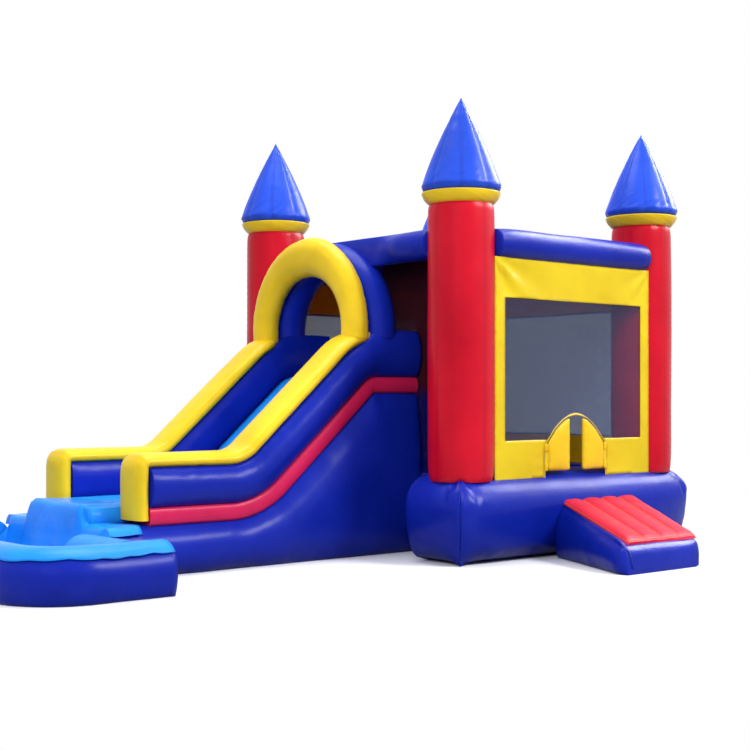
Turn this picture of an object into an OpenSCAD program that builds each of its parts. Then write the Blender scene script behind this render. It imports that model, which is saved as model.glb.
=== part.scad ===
// Inflatable bounce castle with a corner tower at each corner, an entry ramp,
// a slide with a landing pool, and the fan that keeps it inflated.
// Millimetres, +Z up. The origin is on the ground under the middle of the house.
// The entrance faces -Y and the slide leaves toward -X.

/* [House] */
// Spacing of the corner towers across the front
tower_dx = 2690; // [2400:10:3200]
// Spacing of the corner towers front to back
tower_dy = 2990; // [2700:10:3400]
// Height of the inflated base border
base_h = 830; // [700:5:900]
// How far the base swells past the tower axes
base_out = 400; // [380:5:480]
// How far the base reaches past the tower axes on the ground
base_foot = 290; // [240:5:340]
// Radius of the rounded top edge of the base
base_round = 300; // [200:5:340]
// How far the base border reaches inside the tower axes
base_in = 335; // [325:1:360]
// Height of the stitched seams of the bounce floor
floor_h = 700; // [500:5:760]
// Rise of each floor channel above its seams
floor_puff = 60; // [20:5:70]
// Number of floor channels
floor_channels = 8; // [5:1:12]
// Wall thickness of the hollow air chambers
skin = 4; // [3:0.5:8]
// Gap left between pieces that are sewn or pressed together
seam = 0.3; // [0.2:0.05:0.5]

/* [Corner towers] */
// Diameter of a tower column
col_d = 630; // [560:5:640]
// Height of the top of a column
col_top = 3395; // [3300:5:3700]
// Height of the flared collar
collar_h = 110; // [90:5:220]
// Diameter at the top of the collar
collar_d = 770; // [680:5:820]
// Diameter of a spire at its foot
spire_d = 780; // [700:5:860]
// Height of a spire
spire_h = 910; // [600:10:1100]

/* [Roof] */
// Diameter of a roof beam
beam_d = 270; // [230:5:300]
// Height of the middle of the roof beams
beam_z = 3045; // [3000:5:3150]
// How far the roof beams sit outside the tower axes
beam_out = 150; // [120:5:170]
// Rise of the roof sheet from the line of the front beam to its crown
roof_rise = 85; // [70:5:95]
// Thickness of the roof sheet
roof_t = 4; // [3:0.5:8]

/* [Walls and nets] */
// How far the wall panels hang outside the tower axes
wall_out = 255; // [235:5:265]
// Thickness of a wall panel
wall_t = 6; // [4:0.5:10]
// Width of the window in the front and back walls
win_w = 2020; // [1700:10:2050]
// Width of the window in the right wall
win_side_w = 2320; // [1900:10:2350]
// Height of the window's lower edge
win_low = 1150; // [1000:10:1250]
// Height of the window's upper edge
win_high = 2520; // [2300:10:2700]
// Thickness of a window net
net_t = 4; // [3:0.5:8]
// Width of the bands between the net's gaps
net_bar = 14; // [8:1:24]

/* [Entrance] */
// Width of the doorway between the hinge lines
door_w = 880; // [800:10:940]
// Height of the top of the doorway
door_top = 1410; // [1350:10:1450]
// Radius of the doorway's upper corners
door_round = 300; // [200:10:320]
// Gap between the two flaps
door_slit = 150; // [80:5:180]
// Thickness of a flap at its crown
flap_t = 60; // [40:2:80]
// Thickness of a flap at its edges
flap_edge = 24; // [16:2:36]
// Diameter of the round bead a flap turns on
bead_d = 30; // [20:1:36]
// Clearance of the bead in its sleeves
bead_fit = 0.5; // [0.3:0.1:1]
// Width of the hem around the doorway
hem_w = 30; // [26:1:40]

/* [Ramp] */
// Width of the entry ramp
ramp_w = 1140; // [900:10:1300]
// Length of the entry ramp
ramp_len = 1270; // [1000:10:1500]
// Height of the ramp at the house
ramp_high = 580; // [450:5:620]
// Height of the ramp at its free end
ramp_low = 280; // [220:5:340]
// Sideways position of the ramp's upper end
ramp_x = 135; // [0:5:200]
// Sideways slant of the ramp over its length
ramp_skew = 560; // [0:10:600]
// Thickness of the ramp tread
tread_t = 60; // [40:5:80]

/* [Slide] */
// Sideways position of the slide's middle
slide_y = 345; // [300:5:360]
// Distance of the slope's upper end from the left tower axes
slide_start = 309; // [290:1:340]
// Clear width of the slide lane
lane_w = 1020; // [900:10:1040]
// Thickness of a side rail
rail_w = 410; // [380:5:420]
// Angle of the slide
slide_angle = 41; // [35:1:44]
// Height of the red band along the landing
band_low = 520; // [460:5:560]
// Height of the red band along the platform
band_high = 1690; // [1500:10:1750]
// Half the height of the red band
band_half = 80; // [60:5:90]
// Length of the level landing under the rails
landing_len = 1300; // [1000:10:1500]
// Length of the apron past the rail ends
apron_len = 320; // [200:10:500]
// Bend radius where the slope meets the landing
bend_low = 900; // [750:10:1000]
// Bend radius where the slope meets the platform
bend_high = 150; // [100:10:200]
// Height of the rail cap's seam above the red band
rail_top = 430; // [380:5:460]
// Thickness of the yellow rail cap
cap_t = 120; // [90:5:140]
// Height of the lane surface above the middle of the red band
lane_rise = 100; // [95:5:130]
// Swell of the slide's side panels
side_puff = 70; // [30:5:80]
// Draw in of the slide's side panels at their seams
side_draw = 40; // [30:5:50]

/* [Arch] */
// Radius of the middle of the arch tubes
arch_r = 750; // [730:5:765]
// Radial width of the yellow arch
arch_w = 370; // [340:5:380]
// Depth of the yellow arch
arch_t = 220; // [180:5:240]
// Diameter of the blue arch behind it
hood_d = 370; // [340:5:380]

/* [Platform] */
// How far the platform reaches inside the tower axes
deck_in = 300; // [110:5:320]
// Foot length of the climbing wall
climb_run = 445; // [350:5:520]
// Width of the climbing wall
climb_w = 700; // [500:10:800]
// Number of climbing steps
climb_count = 4; // [3:1:5]
// Diameter of a climbing step
climb_d = 130; // [90:5:150]

/* [Pool] */
// Height and width of the pool's side tubes
pool_d = 420; // [380:5:440]
// Distance of the pool's side tubes from the slide's middle
pool_half = 1845; // [1700:5:1950]
// Outside length of the pool
pool_len = 1290; // [1200:10:1500]
// Bend radius of the pool's outer corners
pool_bend = 400; // [300:10:450]
// Thickness of the pool floor
pool_floor_t = 40; // [20:5:60]
// Thickness of the liner over the tubes
liner_t = 4; // [3:0.5:8]
// Gap between the liner and the tubes
liner_fit = 0.8; // [0.6:0.05:0.9]
// Height where the liner ends on the outside of the tubes
liner_low = 350; // [300:5:365]

/* [Fan] */
// Sideways position of the fan
fan_x = 700; // [300:10:1000]
// Distance from the house to the fan's axle
fan_gap = 640; // [560:10:800]
// Height of the fan's axle
fan_z = 290; // [270:5:320]
// Radius of the fan's casing
fan_r = 230; // [220:2:250]
// Width of the fan's casing
fan_w = 260; // [220:5:300]
// Wall thickness of the fan's casing
fan_wall = 5; // [4:0.5:7]
// Radius of the fan's outlet
outlet_r = 104; // [90:1:110]
// Wall thickness of the inflation sleeve
sleeve_t = 4; // [3:0.5:6]
// Clearance of the sleeve on the outlet
sleeve_fit = 0.6; // [0.3:0.1:1]
// Radius of the fan wheel
wheel_r = 176; // [150:1:185]
// Number of fan blades
blade_count = 28; // [16:1:36]
// Radius of the fan's axle
axle_r = 8; // [6:0.5:10]
// Running clearance of the fan's axle
axle_fit = 0.3; // [0.25:0.05:0.6]
// Radius of the air inlet
inlet_r = 105; // [90:1:115]
// Width of the rocker switch
rocker_w = 26; // [20:1:32]
// Clearance around the rocker switch
rocker_fit = 1; // [0.8:0.1:1.4]
// Radius of the rocker's pivot pin
rocker_pin = 2.5; // [2:0.1:3]
// Clearance of the rocker's pivot pin
rocker_pin_fit = 0.3; // [0.25:0.05:0.5]

/* [Anchors] */
// Width of an anchor tab
tab_w = 90; // [70:5:120]
// Distance of an anchor tab from the tower axes
tab_in = 150; // [100:5:300]
// Length of an anchor tab
tab_l = 205; // [190:5:260]
// Thickness of an anchor tab
tab_t = 4; // [3:0.5:6]
// Bore radius of an eyelet
eyelet_r = 12; // [8:0.5:14]

/* [Hidden] */
$fn = 96;

ax = tower_dx / 2;
ay = tower_dy / 2;
col_r = col_d / 2;
beam_r = beam_d / 2;
rail_over = rail_top + cap_t;
near_y = slide_y - lane_w / 2 - rail_w / 2;
far_y = slide_y + lane_w / 2 + rail_w / 2;

// Slide path: the middle of the red band in the X Z plane
joint_x = -ax - base_out - 5;
deck_x = -ax + deck_in;
knee_high = [-ax - slide_start, band_high];
knee_low = [knee_high[0] - (band_high - band_low) / tan(slide_angle), band_low];
rail_x = knee_low[0] - landing_len;
front_x = rail_x - apron_len;
bend_reach_low = bend_low * tan(slide_angle / 2);
bend_reach_high = bend_high * tan(slide_angle / 2);
bend_mid_low = [knee_low[0] - bend_reach_low, band_low + bend_low];
bend_mid_high = [knee_high[0] + bend_reach_high, band_high - bend_high];
level_x = bend_mid_high[0];

function bend_low_at(a) = [bend_mid_low[0] + bend_low * sin(a), bend_mid_low[1] - bend_low * cos(a), a];
function bend_high_at(a) = [bend_mid_high[0] - bend_high * sin(a), bend_mid_high[1] + bend_high * cos(a), a];
path_low = [for (k = [0:6]) bend_low_at(slide_angle * k / 6)];
path_high = [for (k = [0:4]) bend_high_at(slide_angle * (4 - k) / 4)];
slope_a = bend_low_at(slide_angle);
slope_b = bend_high_at(slide_angle);
path_mid = [for (k = [1:2]) slope_a + (slope_b - slope_a) * k / 3];
path_slope = concat(path_low, path_mid, path_high);
function path_from(x) = concat([[x, band_low, 0]], path_slope);
function along(p, v) = [p[0] - sin(p[2]) * v, p[1] + cos(p[2]) * v];

// A swollen panel edge: drawn in at its seams and full in its middle
function swell(f, draw, puff) = -draw + (draw + puff) * sqrt(max(sin(180 * f), 0));
side_steps = [0, 0.03, 0.1, 0.22, 0.36, 0.5, 0.64, 0.78, 0.9, 0.97, 1];
few_steps = [0, 0.06, 0.22, 0.5, 0.78, 0.94, 1];

function mean(l) = [for (k = [0:2]) ([for (p = l) p[k]] * [for (p = l) 1]) / len(l)];

// Solid skin through a list of rings, closed at both ends
module loft(rings) {
    n = len(rings[0]);
    m = len(rings);
    points = concat([for (r = rings) for (p = r) p], [mean(rings[0]), mean(rings[m - 1])]);
    sides = [
        for (j = [0:m - 2])
        for (i = [0:n - 1])
        let (a = j * n + i, b = j * n + (i + 1) % n, c = a + n, d = b + n)
        each [[a, b, d], [a, d, c]]
    ];
    ends = [
        for (i = [0:n - 1])
        let (j = (i + 1) % n, e = (m - 1) * n)
        each [[j, i, m * n], [e + i, e + j, m * n + 1]]
    ];
    faces = concat(sides, ends);
    turn = [for (f = faces) cross(points[f[0]], points[f[1]]) * points[f[2]]] * [for (f = faces) 1];
    outward = turn > 0 ? [for (f = faces) [f[2], f[1], f[0]]] : faces;
    polyhedron(points, outward, convexity = 8);
}

// Ring of a swollen block at one X, from the ground up to a level top
function block_ring(x, y0, y1, z0, z1, draw, puff, shrink) = concat(
    [for (f = side_steps) [x, y0 + shrink - swell(f, draw, puff), z0 + (z1 - z0) * f]],
    [for (k = [10:-1:0]) let (f = side_steps[k]) [x, y1 - shrink + swell(f, draw, puff), z0 + (z1 - z0) * f]]
);

// Sweep a flat section along the slide path at one side position
module sweep(path, section, y) {
    loft([for (p = path) [for (s = section) let (q = along(p, s[1])) [q[0], y + s[0], q[1]]]]);
}

// Two walled profile of the base border, s outward and z up
module base_profile(out, foot, rnd, h, back, inset) {
    lift = h - rnd;
    d = out - foot;
    big = (d * d + lift * lift) / (2 * d);
    translate([out - rnd, lift]) circle(r = rnd - inset);
    intersection() {
        translate([out - big, lift]) circle(r = big - inset, $fn = 180);
        translate([-back + inset, inset]) square([out + back, lift - inset]);
    }
    translate([-back + inset, inset]) square([out - rnd + back - inset, h - 2 * inset]);
}

module border_profile(inset) {
    base_profile(base_out, base_foot, base_round, base_h, base_in, inset);
}

module along_x(length) {
    rotate([0, 0, -90]) rotate([90, 0, 0]) linear_extrude(length, center = true) children();
}

module along_y(length) {
    rotate([90, 0, 0]) linear_extrude(length, center = true) children();
}

// Front border block with its two corners
module front_block(inset) {
    intersection() {
        translate([0, -ay, 0]) along_x(tower_dx + 4 * base_out) border_profile(inset);
        translate([0, -ay, 0]) along_y(4 * base_out) {
            for (m = [0, 1]) mirror([m, 0]) {
                translate([ax, 0]) border_profile(inset);
                translate([-1, inset]) square([ax, base_h - 2 * inset]);
            }
        }
    }
}

module back_block(inset) {
    mirror([0, 1, 0]) front_block(inset);
}

module tower_axis(sx, sy) {
    translate([sx * ax, sy * ay, 0]) children();
}

module column_core(grow) {
    for (sx = [-1, 1]) for (sy = [-1, 1]) tower_axis(sx, sy)
        translate([0, 0, base_h - base_round - 60]) cylinder(h = col_top, r = col_r + grow);
}

module column(sx, sy) {
    color("crimson") difference() {
        tower_axis(sx, sy) translate([0, 0, base_h - base_round + 60])
            cylinder(h = col_top - base_h + base_round - 60, r = col_r);
        difference() {
            tower_axis(sx, sy) translate([0, 0, base_h - base_round + 60])
                cylinder(h = col_top - base_h + base_round - 60 - skin, r = col_r - skin);
            if (sy < 0) front_block(-seam - skin);
            else back_block(-seam - skin);
        }
        if (sy < 0) front_block(-seam);
        else back_block(-seam);
    }
}

module collar(sx, sy) {
    color("gold") tower_axis(sx, sy) translate([0, 0, col_top + seam]) difference() {
        cylinder(h = collar_h, r1 = col_r, r2 = collar_d / 2);
        translate([0, 0, skin]) cylinder(h = collar_h - 2 * skin, r1 = col_r - skin, r2 = collar_d / 2 - skin);
    }
}

function spire_line(r, h, z) = concat(
    [[0, z], [r - 40, z], [r - 12, z + 10], [r, z + 34]],
    [for (k = [1:9]) let (t = k / 10) [r * (1 - t) * (1 + 0.22 * t), z + 34 + (h - 34) * t]],
    [[14, z + h - 12], [0, z + h]]
);

module spire(sx, sy) {
    color("royalblue") tower_axis(sx, sy) translate([0, 0, col_top + collar_h + 2 * seam]) rotate_extrude() difference() {
        polygon(spire_line(spire_d / 2, spire_h, 0));
        polygon(spire_line(spire_d / 2 - 1.2 * skin, spire_h - 4 * skin, skin));
    }
}

module beam_core(side, grow) {
    if (side == "front" || side == "back")
        translate([0, (side == "front" ? -1 : 1) * (ay + beam_out), beam_z])
            rotate([0, 90, 0]) cylinder(h = tower_dx, r = beam_r + grow, center = true);
    else
        translate([(side == "left" ? -1 : 1) * (ax + beam_out), 0, beam_z])
            rotate([90, 0, 0]) cylinder(h = tower_dy, r = beam_r + grow, center = true);
}

module beam(side) {
    color("blue") difference() {
        beam_core(side, 0);
        difference() {
            beam_core(side, -skin);
            column_core(seam + skin);
            if (side == "left") hood_core(seam + skin);
        }
        column_core(seam);
        if (side == "left") hood_core(seam);
    }
}

roof_half = ay + beam_out;
roof_top = beam_z + roof_rise;
roof_steps = 10;
function roof_z(f) = roof_top - roof_rise * f * f;
function roof_line(drop) = [for (k = [-roof_steps:roof_steps]) let (f = k / roof_steps) [f * roof_half, roof_z(f) - drop]];

module roof_sheet() {
    color("mediumblue") difference() {
        along_x(tower_dx + 2 * beam_out) polygon(concat(
            roof_line(0),
            [for (k = [2 * roof_steps:-1:0]) roof_line(roof_t)[k]]
        ));
        for (side = ["front", "back", "left", "right"]) beam_core(side, seam);
        column_core(seam);
        hood_core(seam);
    }
}

// Outline of the doorway in X and Z
module door_outline(grow) {
    low = base_h - base_round;
    for (m = [0, 1]) mirror([m, 0]) {
        translate([door_w / 2 - door_round, door_top - door_round]) circle(r = door_round + grow);
        translate([-1, low]) square([door_w / 2 + grow + 1, door_top - door_round - low]);
        translate([-1, low]) square([door_w / 2 - door_round + 1, door_top - low + grow]);
    }
}

// Wall panels of one side: two strips, the valance over the window and the sill under it
module wall_shapes(half, win) {
    low = base_h - base_round;
    for (m = [0, 1]) mirror([m, 0])
        translate([win / 2, win_low + seam]) square([half - win / 2, win_high - win_low - 2 * seam]);
    translate([-half, win_high]) square([2 * half, beam_z - win_high]);
    translate([-half, low]) square([2 * half, win_low - low]);
}

module wall_front() {
    color("yellow") difference() {
        translate([0, -ay - wall_out, 0]) along_y(wall_t) difference() {
            wall_shapes(ax, win_w);
            door_outline(hem_w);
        }
        front_block(-seam);
        beam_core("front", seam);
        column_core(seam);
    }
}

module wall_back() {
    color("yellow") difference() {
        translate([0, ay + wall_out, 0]) along_y(wall_t) wall_shapes(ax, win_w);
        back_block(-seam);
        beam_core("back", seam);
        column_core(seam);
    }
}

module right_block(inset) {
    intersection() {
        translate([ax, 0, 0]) along_y(2 * (ay - base_in - seam) - 2 * inset) border_profile(inset);
        translate([0, 0, base_h / 2]) cube([4 * ax, 4 * ay, 2 * base_h], center = true);
    }
}

module wall_right() {
    color("yellow") difference() {
        translate([ax + wall_out, 0, 0]) rotate([0, 0, 90]) along_y(wall_t) wall_shapes(ay, win_side_w);
        translate([ax, 0, 0]) along_y(tower_dy) border_profile(-seam);
        beam_core("right", seam);
        column_core(seam);
    }
}

// Net with its gaps, filling a window
module net_shape(w, h, nx, nz) {
    px = (w - net_bar) / nx;
    pz = (h - net_bar) / nz;
    difference() {
        square([w, h]);
        for (i = [0:nx - 1]) for (k = [0:nz - 1])
            translate([net_bar + i * px, net_bar + k * pz]) square([px - net_bar, pz - net_bar]);
    }
}

module net_front() {
    side = win_w / 2 - door_w / 2 - hem_w - 2 * seam;
    mid = door_w + 2 * hem_w - 2 * seam;
    over = door_top + hem_w + seam;
    color("dimgray") translate([0, -ay - wall_out, 0]) along_y(net_t) {
        for (m = [0, 1]) mirror([m, 0]) translate([-win_w / 2 + seam, win_low + seam])
            net_shape(side, win_high - win_low - 2 * seam, 3, 7);
        translate([-mid / 2, over]) net_shape(mid, win_high - over - seam, 4, 5);
    }
}

module net_back() {
    color("dimgray") translate([0, ay + wall_out, 0]) along_y(net_t)
        translate([-win_w / 2 + seam, win_low + seam])
            net_shape(win_w - 2 * seam, win_high - win_low - 2 * seam, 10, 7);
}

module net_right() {
    color("dimgray") translate([ax + wall_out, 0, 0]) rotate([0, 0, 90]) along_y(net_t)
        translate([-win_side_w / 2 + seam, win_low + seam])
            net_shape(win_side_w - 2 * seam, win_high - win_low - 2 * seam, 11, 7);
}

module net_left() {
    y0 = -ay;
    y1 = near_y + rail_w / 2 - 40;
    z0 = floor_h + floor_puff + seam;
    color("dimgray") difference() {
        translate([deck_x + seam + net_t / 2, 0, 0]) rotate([0, 0, 90]) along_y(net_t)
            translate([y0, z0]) net_shape(y1 - y0, roof_top - z0, 4, 10);
        column_core(seam);
        front_block(-seam);
        along_x(tower_dx) polygon(concat(
            roof_line(roof_t + seam),
            [[roof_half, 2 * roof_top], [-roof_half, 2 * roof_top]]
        ));
    }
}

module base_front() {
    color("blue") difference() {
        front_block(0);
        front_block(skin);
    }
}

module base_back() {
    color("blue") difference() {
        back_block(0);
        back_block(skin);
    }
}

module base_right() {
    color("blue") difference() {
        right_block(0);
        right_block(skin);
    }
}

module floor_profile(inset) {
    half = ay - base_in - seam;
    pitch = 2 * half / floor_channels;
    big = (pitch * pitch / 4 + floor_puff * floor_puff) / (2 * floor_puff);
    translate([-half + inset, inset]) square([2 * half - 2 * inset, floor_h - 2 * inset]);
    for (k = [0:floor_channels - 1]) intersection() {
        translate([-half + (k + 0.5) * pitch, floor_h + floor_puff - big]) circle(r = big - inset);
        translate([-half + k * pitch + inset, floor_h - 2 * inset - 1]) square([pitch - 2 * inset, 2 * floor_puff]);
    }
}

module bounce_floor() {
    x0 = deck_x + seam;
    x1 = ax - base_in - seam;
    color("royalblue") translate([(x0 + x1) / 2, 0, 0]) rotate([0, 0, 90]) difference() {
        along_y(x1 - x0) floor_profile(0);
        along_y(x1 - x0 - 2 * skin) floor_profile(skin);
    }
}

// Flap hung on a round bead at its outer edge, in the left doorway half
module flap() {
    hx = -door_w / 2;
    low = base_h + 12;
    knuckle = 80;
    high = door_top - door_round;
    edge = bead_d / 2 + 10;
    span = door_w / 2 - edge - door_slit / 2;
    rise = (flap_t - flap_edge) / 2;
    big = (span * span / 4 + rise * rise) / (2 * rise);
    color("yellow") translate([0, -ay - wall_out, 0]) {
        translate([hx, 0, low]) cylinder(h = high - low, d = bead_d);
        translate([hx, -flap_edge / 2, low + knuckle]) cube([edge + 2, flap_edge, high - low - 2 * knuckle]);
        intersection() {
            along_y(flap_t + 2) difference() {
                intersection() {
                    door_outline(-6);
                    translate([hx + edge, low]) square([span, door_top]);
                }
            }
            translate([hx + edge + span / 2, big - flap_t / 2, 0]) cylinder(h = door_top, r = big, $fn = 180);
            translate([hx + edge + span / 2, flap_t / 2 - big, 0]) cylinder(h = door_top, r = big, $fn = 180);
        }
    }
}

module door_flap_left() {
    flap();
}

module door_flap_right() {
    mirror([1, 0, 0]) flap();
}

// Hem around the doorway with the sleeves that carry the flap beads
module door_hem() {
    low = base_h + 12;
    high = door_top - door_round;
    color("ivory") difference() {
        translate([0, -ay - wall_out, 0]) {
            difference() {
                along_y(wall_t + 6) difference() {
                    door_outline(hem_w - seam);
                    door_outline(bead_d / 2 - 3);
                }
                for (m = [-1, 1]) translate([m * door_w / 2, 0, 0])
                    cylinder(h = high + 1, r = bead_d / 2 + bead_fit);
            }
            for (m = [-1, 1]) for (z = [low + 5, high - 75]) translate([m * door_w / 2, 0, z]) difference() {
                cylinder(h = 70, r = bead_d / 2 + bead_fit + 6);
                translate([0, 0, -1]) cylinder(h = 72, r = bead_d / 2 + bead_fit);
            }
        }
        front_block(-seam);
    }
}

function ramp_ring(t, top, draw, puff, shrink) = let (
    y = -ay - base_out - seam - ramp_len * t,
    x = ramp_x - ramp_skew * t
) concat(
    [for (f = few_steps) [x - ramp_w / 2 + shrink - swell(f, draw, puff), y, top * f]],
    [for (k = [6:-1:0]) let (f = few_steps[k]) [x + ramp_w / 2 - shrink + swell(f, draw, puff), y, top * f]]
);

function ramp_top(t) = ramp_high + (ramp_low - ramp_high) * t - tread_t;

module ramp_body() {
    color("blue") loft([
        ramp_ring(0, ramp_top(0), 30, 30, 0),
        ramp_ring(0.3, ramp_top(0.3), 30, 40, 0),
        ramp_ring(0.6, ramp_top(0.6), 30, 40, 0),
        ramp_ring(0.92, ramp_top(0.92), 30, 30, 0),
        ramp_ring(0.96, ramp_top(0.92) * 0.93, 30, 20, 14),
        ramp_ring(0.99, ramp_top(0.92) * 0.8, 30, 5, 40),
        ramp_ring(1, ramp_top(0.92) * 0.62, 30, 0, 60)
    ]);
}

tread_steps = 16;
function channel(f, count, puff) = puff * sqrt(abs(sin(180 * count * f)));
function tread_ring(t, thick, puff) = let (
    y = -ay - base_out - seam - ramp_len * t,
    x = ramp_x - ramp_skew * t,
    w = ramp_w - 70,
    z = ramp_top(t) + seam
) concat(
    [[x - w / 2, y, z]],
    [for (k = [0:tread_steps]) let (f = k / tread_steps) [x - w / 2 + w * f, y, z + thick + channel(f, 4, puff)]],
    [[x + w / 2, y, z]]
);

module ramp_tread() {
    color("red") loft([
        tread_ring(0, tread_t - 25, 25),
        tread_ring(0.5, tread_t - 25, 25),
        tread_ring(0.84, tread_t - 25, 25),
        tread_ring(0.89, tread_t - 32, 20),
        tread_ring(0.915, tread_t - 46, 8)
    ]);
}

near_side = near_y - rail_w / 2;
far_side = far_y + rail_w / 2;
tower_far = min(far_side, ay - base_in - side_puff - 10);

// Level chamber under the landing, rounded at its free end
module landing_core(inset) {
    top = band_low - band_half - inset;
    y0 = near_side + inset;
    y1 = far_side - inset;
    stops = [for (k = [0:6]) let (q = along(path_low[k], -band_half)) [q[0] - (k == 6 ? inset : 0), q[1] - inset]];
    loft(concat(
        [
            block_ring(front_x + inset, y0, y1, inset, top * 0.78, side_draw, side_puff, 60),
            block_ring(front_x + inset + 25, y0, y1, inset, top * 0.93, side_draw, side_puff, 20),
            block_ring(front_x + inset + 80, y0, y1, inset, top, side_draw, side_puff, 0)
        ],
        [for (e = stops) block_ring(e[0], y0, y1, inset, e[1], side_draw, side_puff, 0)]
    ));
}

module slide_landing() {
    color("blue") difference() {
        landing_core(0);
        landing_core(skin);
    }
}

// Chamber under the slope, up to the house
module slide_core(inset) {
    split = path_low[6];
    q = along(split, -band_half);
    top = along(path_high[4], -band_half);
    steps = concat(
        [[q[0] + seam + inset, q[1] - inset]],
        [for (p = concat(path_mid, path_high)) let (e = along(p, -band_half)) if (e[0] < joint_x - inset - 1) [e[0], e[1] - inset]]
    );
    last = steps[len(steps) - 1];
    rise = tan(slide_angle) * (joint_x - inset - last[0]);
    full = concat(steps, [[joint_x - inset, min(last[1] + rise, top[1] - inset)]]);
    loft([for (e = full) block_ring(
        e[0], near_side + inset, far_side - inset, inset, e[1], side_draw, side_puff, 0
    )]);
}

module slide_body() {
    color("blue") difference() {
        slide_core(0);
        slide_core(skin);
    }
}

// Chamber under the platform, standing in the left side of the house
module platform_core(inset) {
    x0 = joint_x + seam + inset;
    x1 = deck_x - inset;
    q = along(path_high[0], -band_half);
    top = band_high - band_half;
    start = min(top, q[1] + tan(slide_angle) * (joint_x + seam - q[0]));
    rings = [
        [x0, start - inset, 0],
        [level_x, top - inset, 0],
        [x1 - 90, top - inset, 0],
        [x1 - 30, top - inset, 24],
        [x1, top - inset, 70]
    ];
    loft([for (r = rings) block_ring(
        r[0], near_side + inset, tower_far - inset, inset, r[1], side_draw, side_puff, r[2]
    )]);
}

module platform_tower() {
    color("blue") difference() {
        platform_core(0);
        platform_core(skin);
    }
}

module platform_deck() {
    x0 = level_x + seam;
    z0 = band_high - band_half + seam;
    w = lane_w + 20;
    color("blue") translate([x0, slide_y - w / 2, z0])
        cube([deck_x - x0, w, lane_rise + band_half - seam]);
}

bed_steps = 16;
function bed_section(top) = concat(
    [[-lane_w / 2 - 38, -band_half + seam], [-lane_w / 2 - 38, band_half - 5]],
    [for (k = [0:bed_steps]) let (f = k / bed_steps) [
        (f - 0.5) * (lane_w - 8),
        top - 18 + channel(f, 4, 18)
    ]],
    [[lane_w / 2 + 38, band_half - 5], [lane_w / 2 + 38, -band_half + seam]]
);

module slide_bed() {
    color("dodgerblue") loft([
        for (e = concat(
            [[front_x + 2, band_low, 0, 94], [front_x + 30, band_low, 0, 98]],
            [for (p = path_from(front_x + 90)) concat(p, [lane_rise])]
        )) [for (s = bed_section(e[3])) let (q = along(e, s[1])) [q[0], slide_y + s[0], q[1]]]
    ]);
}

function rail_section(top) = let (low = band_half + seam, half = rail_w / 2) concat(
    [for (f = few_steps) [-half - swell(f, side_draw, 0), low + (top - low) * f]],
    [for (k = [6:-1:0]) let (f = few_steps[k]) [half + swell(f, side_draw, 0), low + (top - low) * f]]
);

module rail(y) {
    low = rail_section(rail_top - seam);
    high = rail_section(rail_over);
    end = path_slope[len(path_slope) - 1];
    stops = concat(
        [for (p = path_from(rail_x + cap_t + seam)) [p, low]],
        [for (x = [level_x + 0.6, deck_x]) [[x, band_high, 0], high]]
    );
    loft([for (e = stops) [for (s = e[1]) let (q = along(e[0], s[1])) [q[0], y + s[0], q[1]]]]);
}

module rail_near() {
    color("blue") rail(near_y);
}

module rail_far() {
    color("blue") difference() {
        rail(far_y);
        column_core(seam);
    }
}

// Cap over a rail, running up its free end and along its top
module rail_cap(y) {
    half = rail_w / 2;
    mid = rail_top + cap_t / 2;
    t = cap_t / 2;
    turn = t + 1;
    front = rail_x + t;
    lead = concat(
        [[front, band_low + band_half + seam, 90]],
        [for (k = [0:4]) let (a = 90 - 22.5 * k)
            [front + turn - turn * sin(a), band_low + mid - turn + turn * cos(a), a]]
    );
    tail = [for (p = path_slope) let (q = along(p, mid)) [q[0], q[1], p[2]]];
    section = [
        [-half + side_draw, -t], [-half + 4, -t * 0.45], [-half + 6, t * 0.2], [-half + 40, t * 0.72], [-half + 110, t],
        [half - 110, t], [half - 40, t * 0.72], [half - 6, t * 0.2], [half - 4, -t * 0.45], [half - side_draw, -t]
    ];
    color("gold") sweep(concat(lead, tail), section, y);
}

module rail_cap_near() {
    rail_cap(near_y);
}

module rail_cap_far() {
    rail_cap(far_y);
}

module stripe(y) {
    half = rail_w / 2 - side_draw;
    v = band_half - seam / 2;
    section = [
        [-half, -v + seam], [-half - 6, -v * 0.4], [-half - 6, v * 0.4], [-half, v],
        [half, v], [half + 1, v * 0.4], [half + 1, -v * 0.4], [half, -v + seam]
    ];
    sweep(concat(path_from(rail_x), [[deck_x, band_high, 0]]), section, y);
}

module stripe_near() {
    color("deeppink") stripe(near_y);
}

module stripe_far() {
    color("deeppink") difference() {
        mirror([0, 1, 0]) stripe(-far_y);
        column_core(seam);
    }
}

arch_z = band_high + rail_over + seam;
hood_x = level_x - 80 + hood_d / 2;

module half_ring() {
    rotate([90, 0, 90]) rotate_extrude(angle = 180) translate([arch_r, 0]) children();
}

module arch_front() {
    side = arch_w - arch_t;
    color("gold") translate([hood_x - hood_d / 2 - seam - arch_t / 2, slide_y, arch_z]) half_ring() {
        square([side, arch_t], center = true);
        for (m = [-1, 1]) translate([m * side / 2, 0]) circle(d = arch_t);
    }
}

module hood_core(grow) {
    translate([hood_x, slide_y, arch_z - grow]) half_ring() circle(d = hood_d + 2 * grow);
}

module arch_hood() {
    color("blue") difference() {
        hood_core(0);
        column_core(seam);
    }
}

climb_foot = floor_h + floor_puff + seam;
climb_top = band_high + lane_rise;
module climb_shape(grow) {
    polygon([
        [deck_x + 2 * seam + net_t, climb_foot - grow],
        [deck_x + climb_run + grow * 2, climb_foot - grow],
        [deck_x + 60 + grow * 2, climb_top],
        [deck_x + 2 * seam + net_t, climb_top]
    ]);
}

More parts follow.
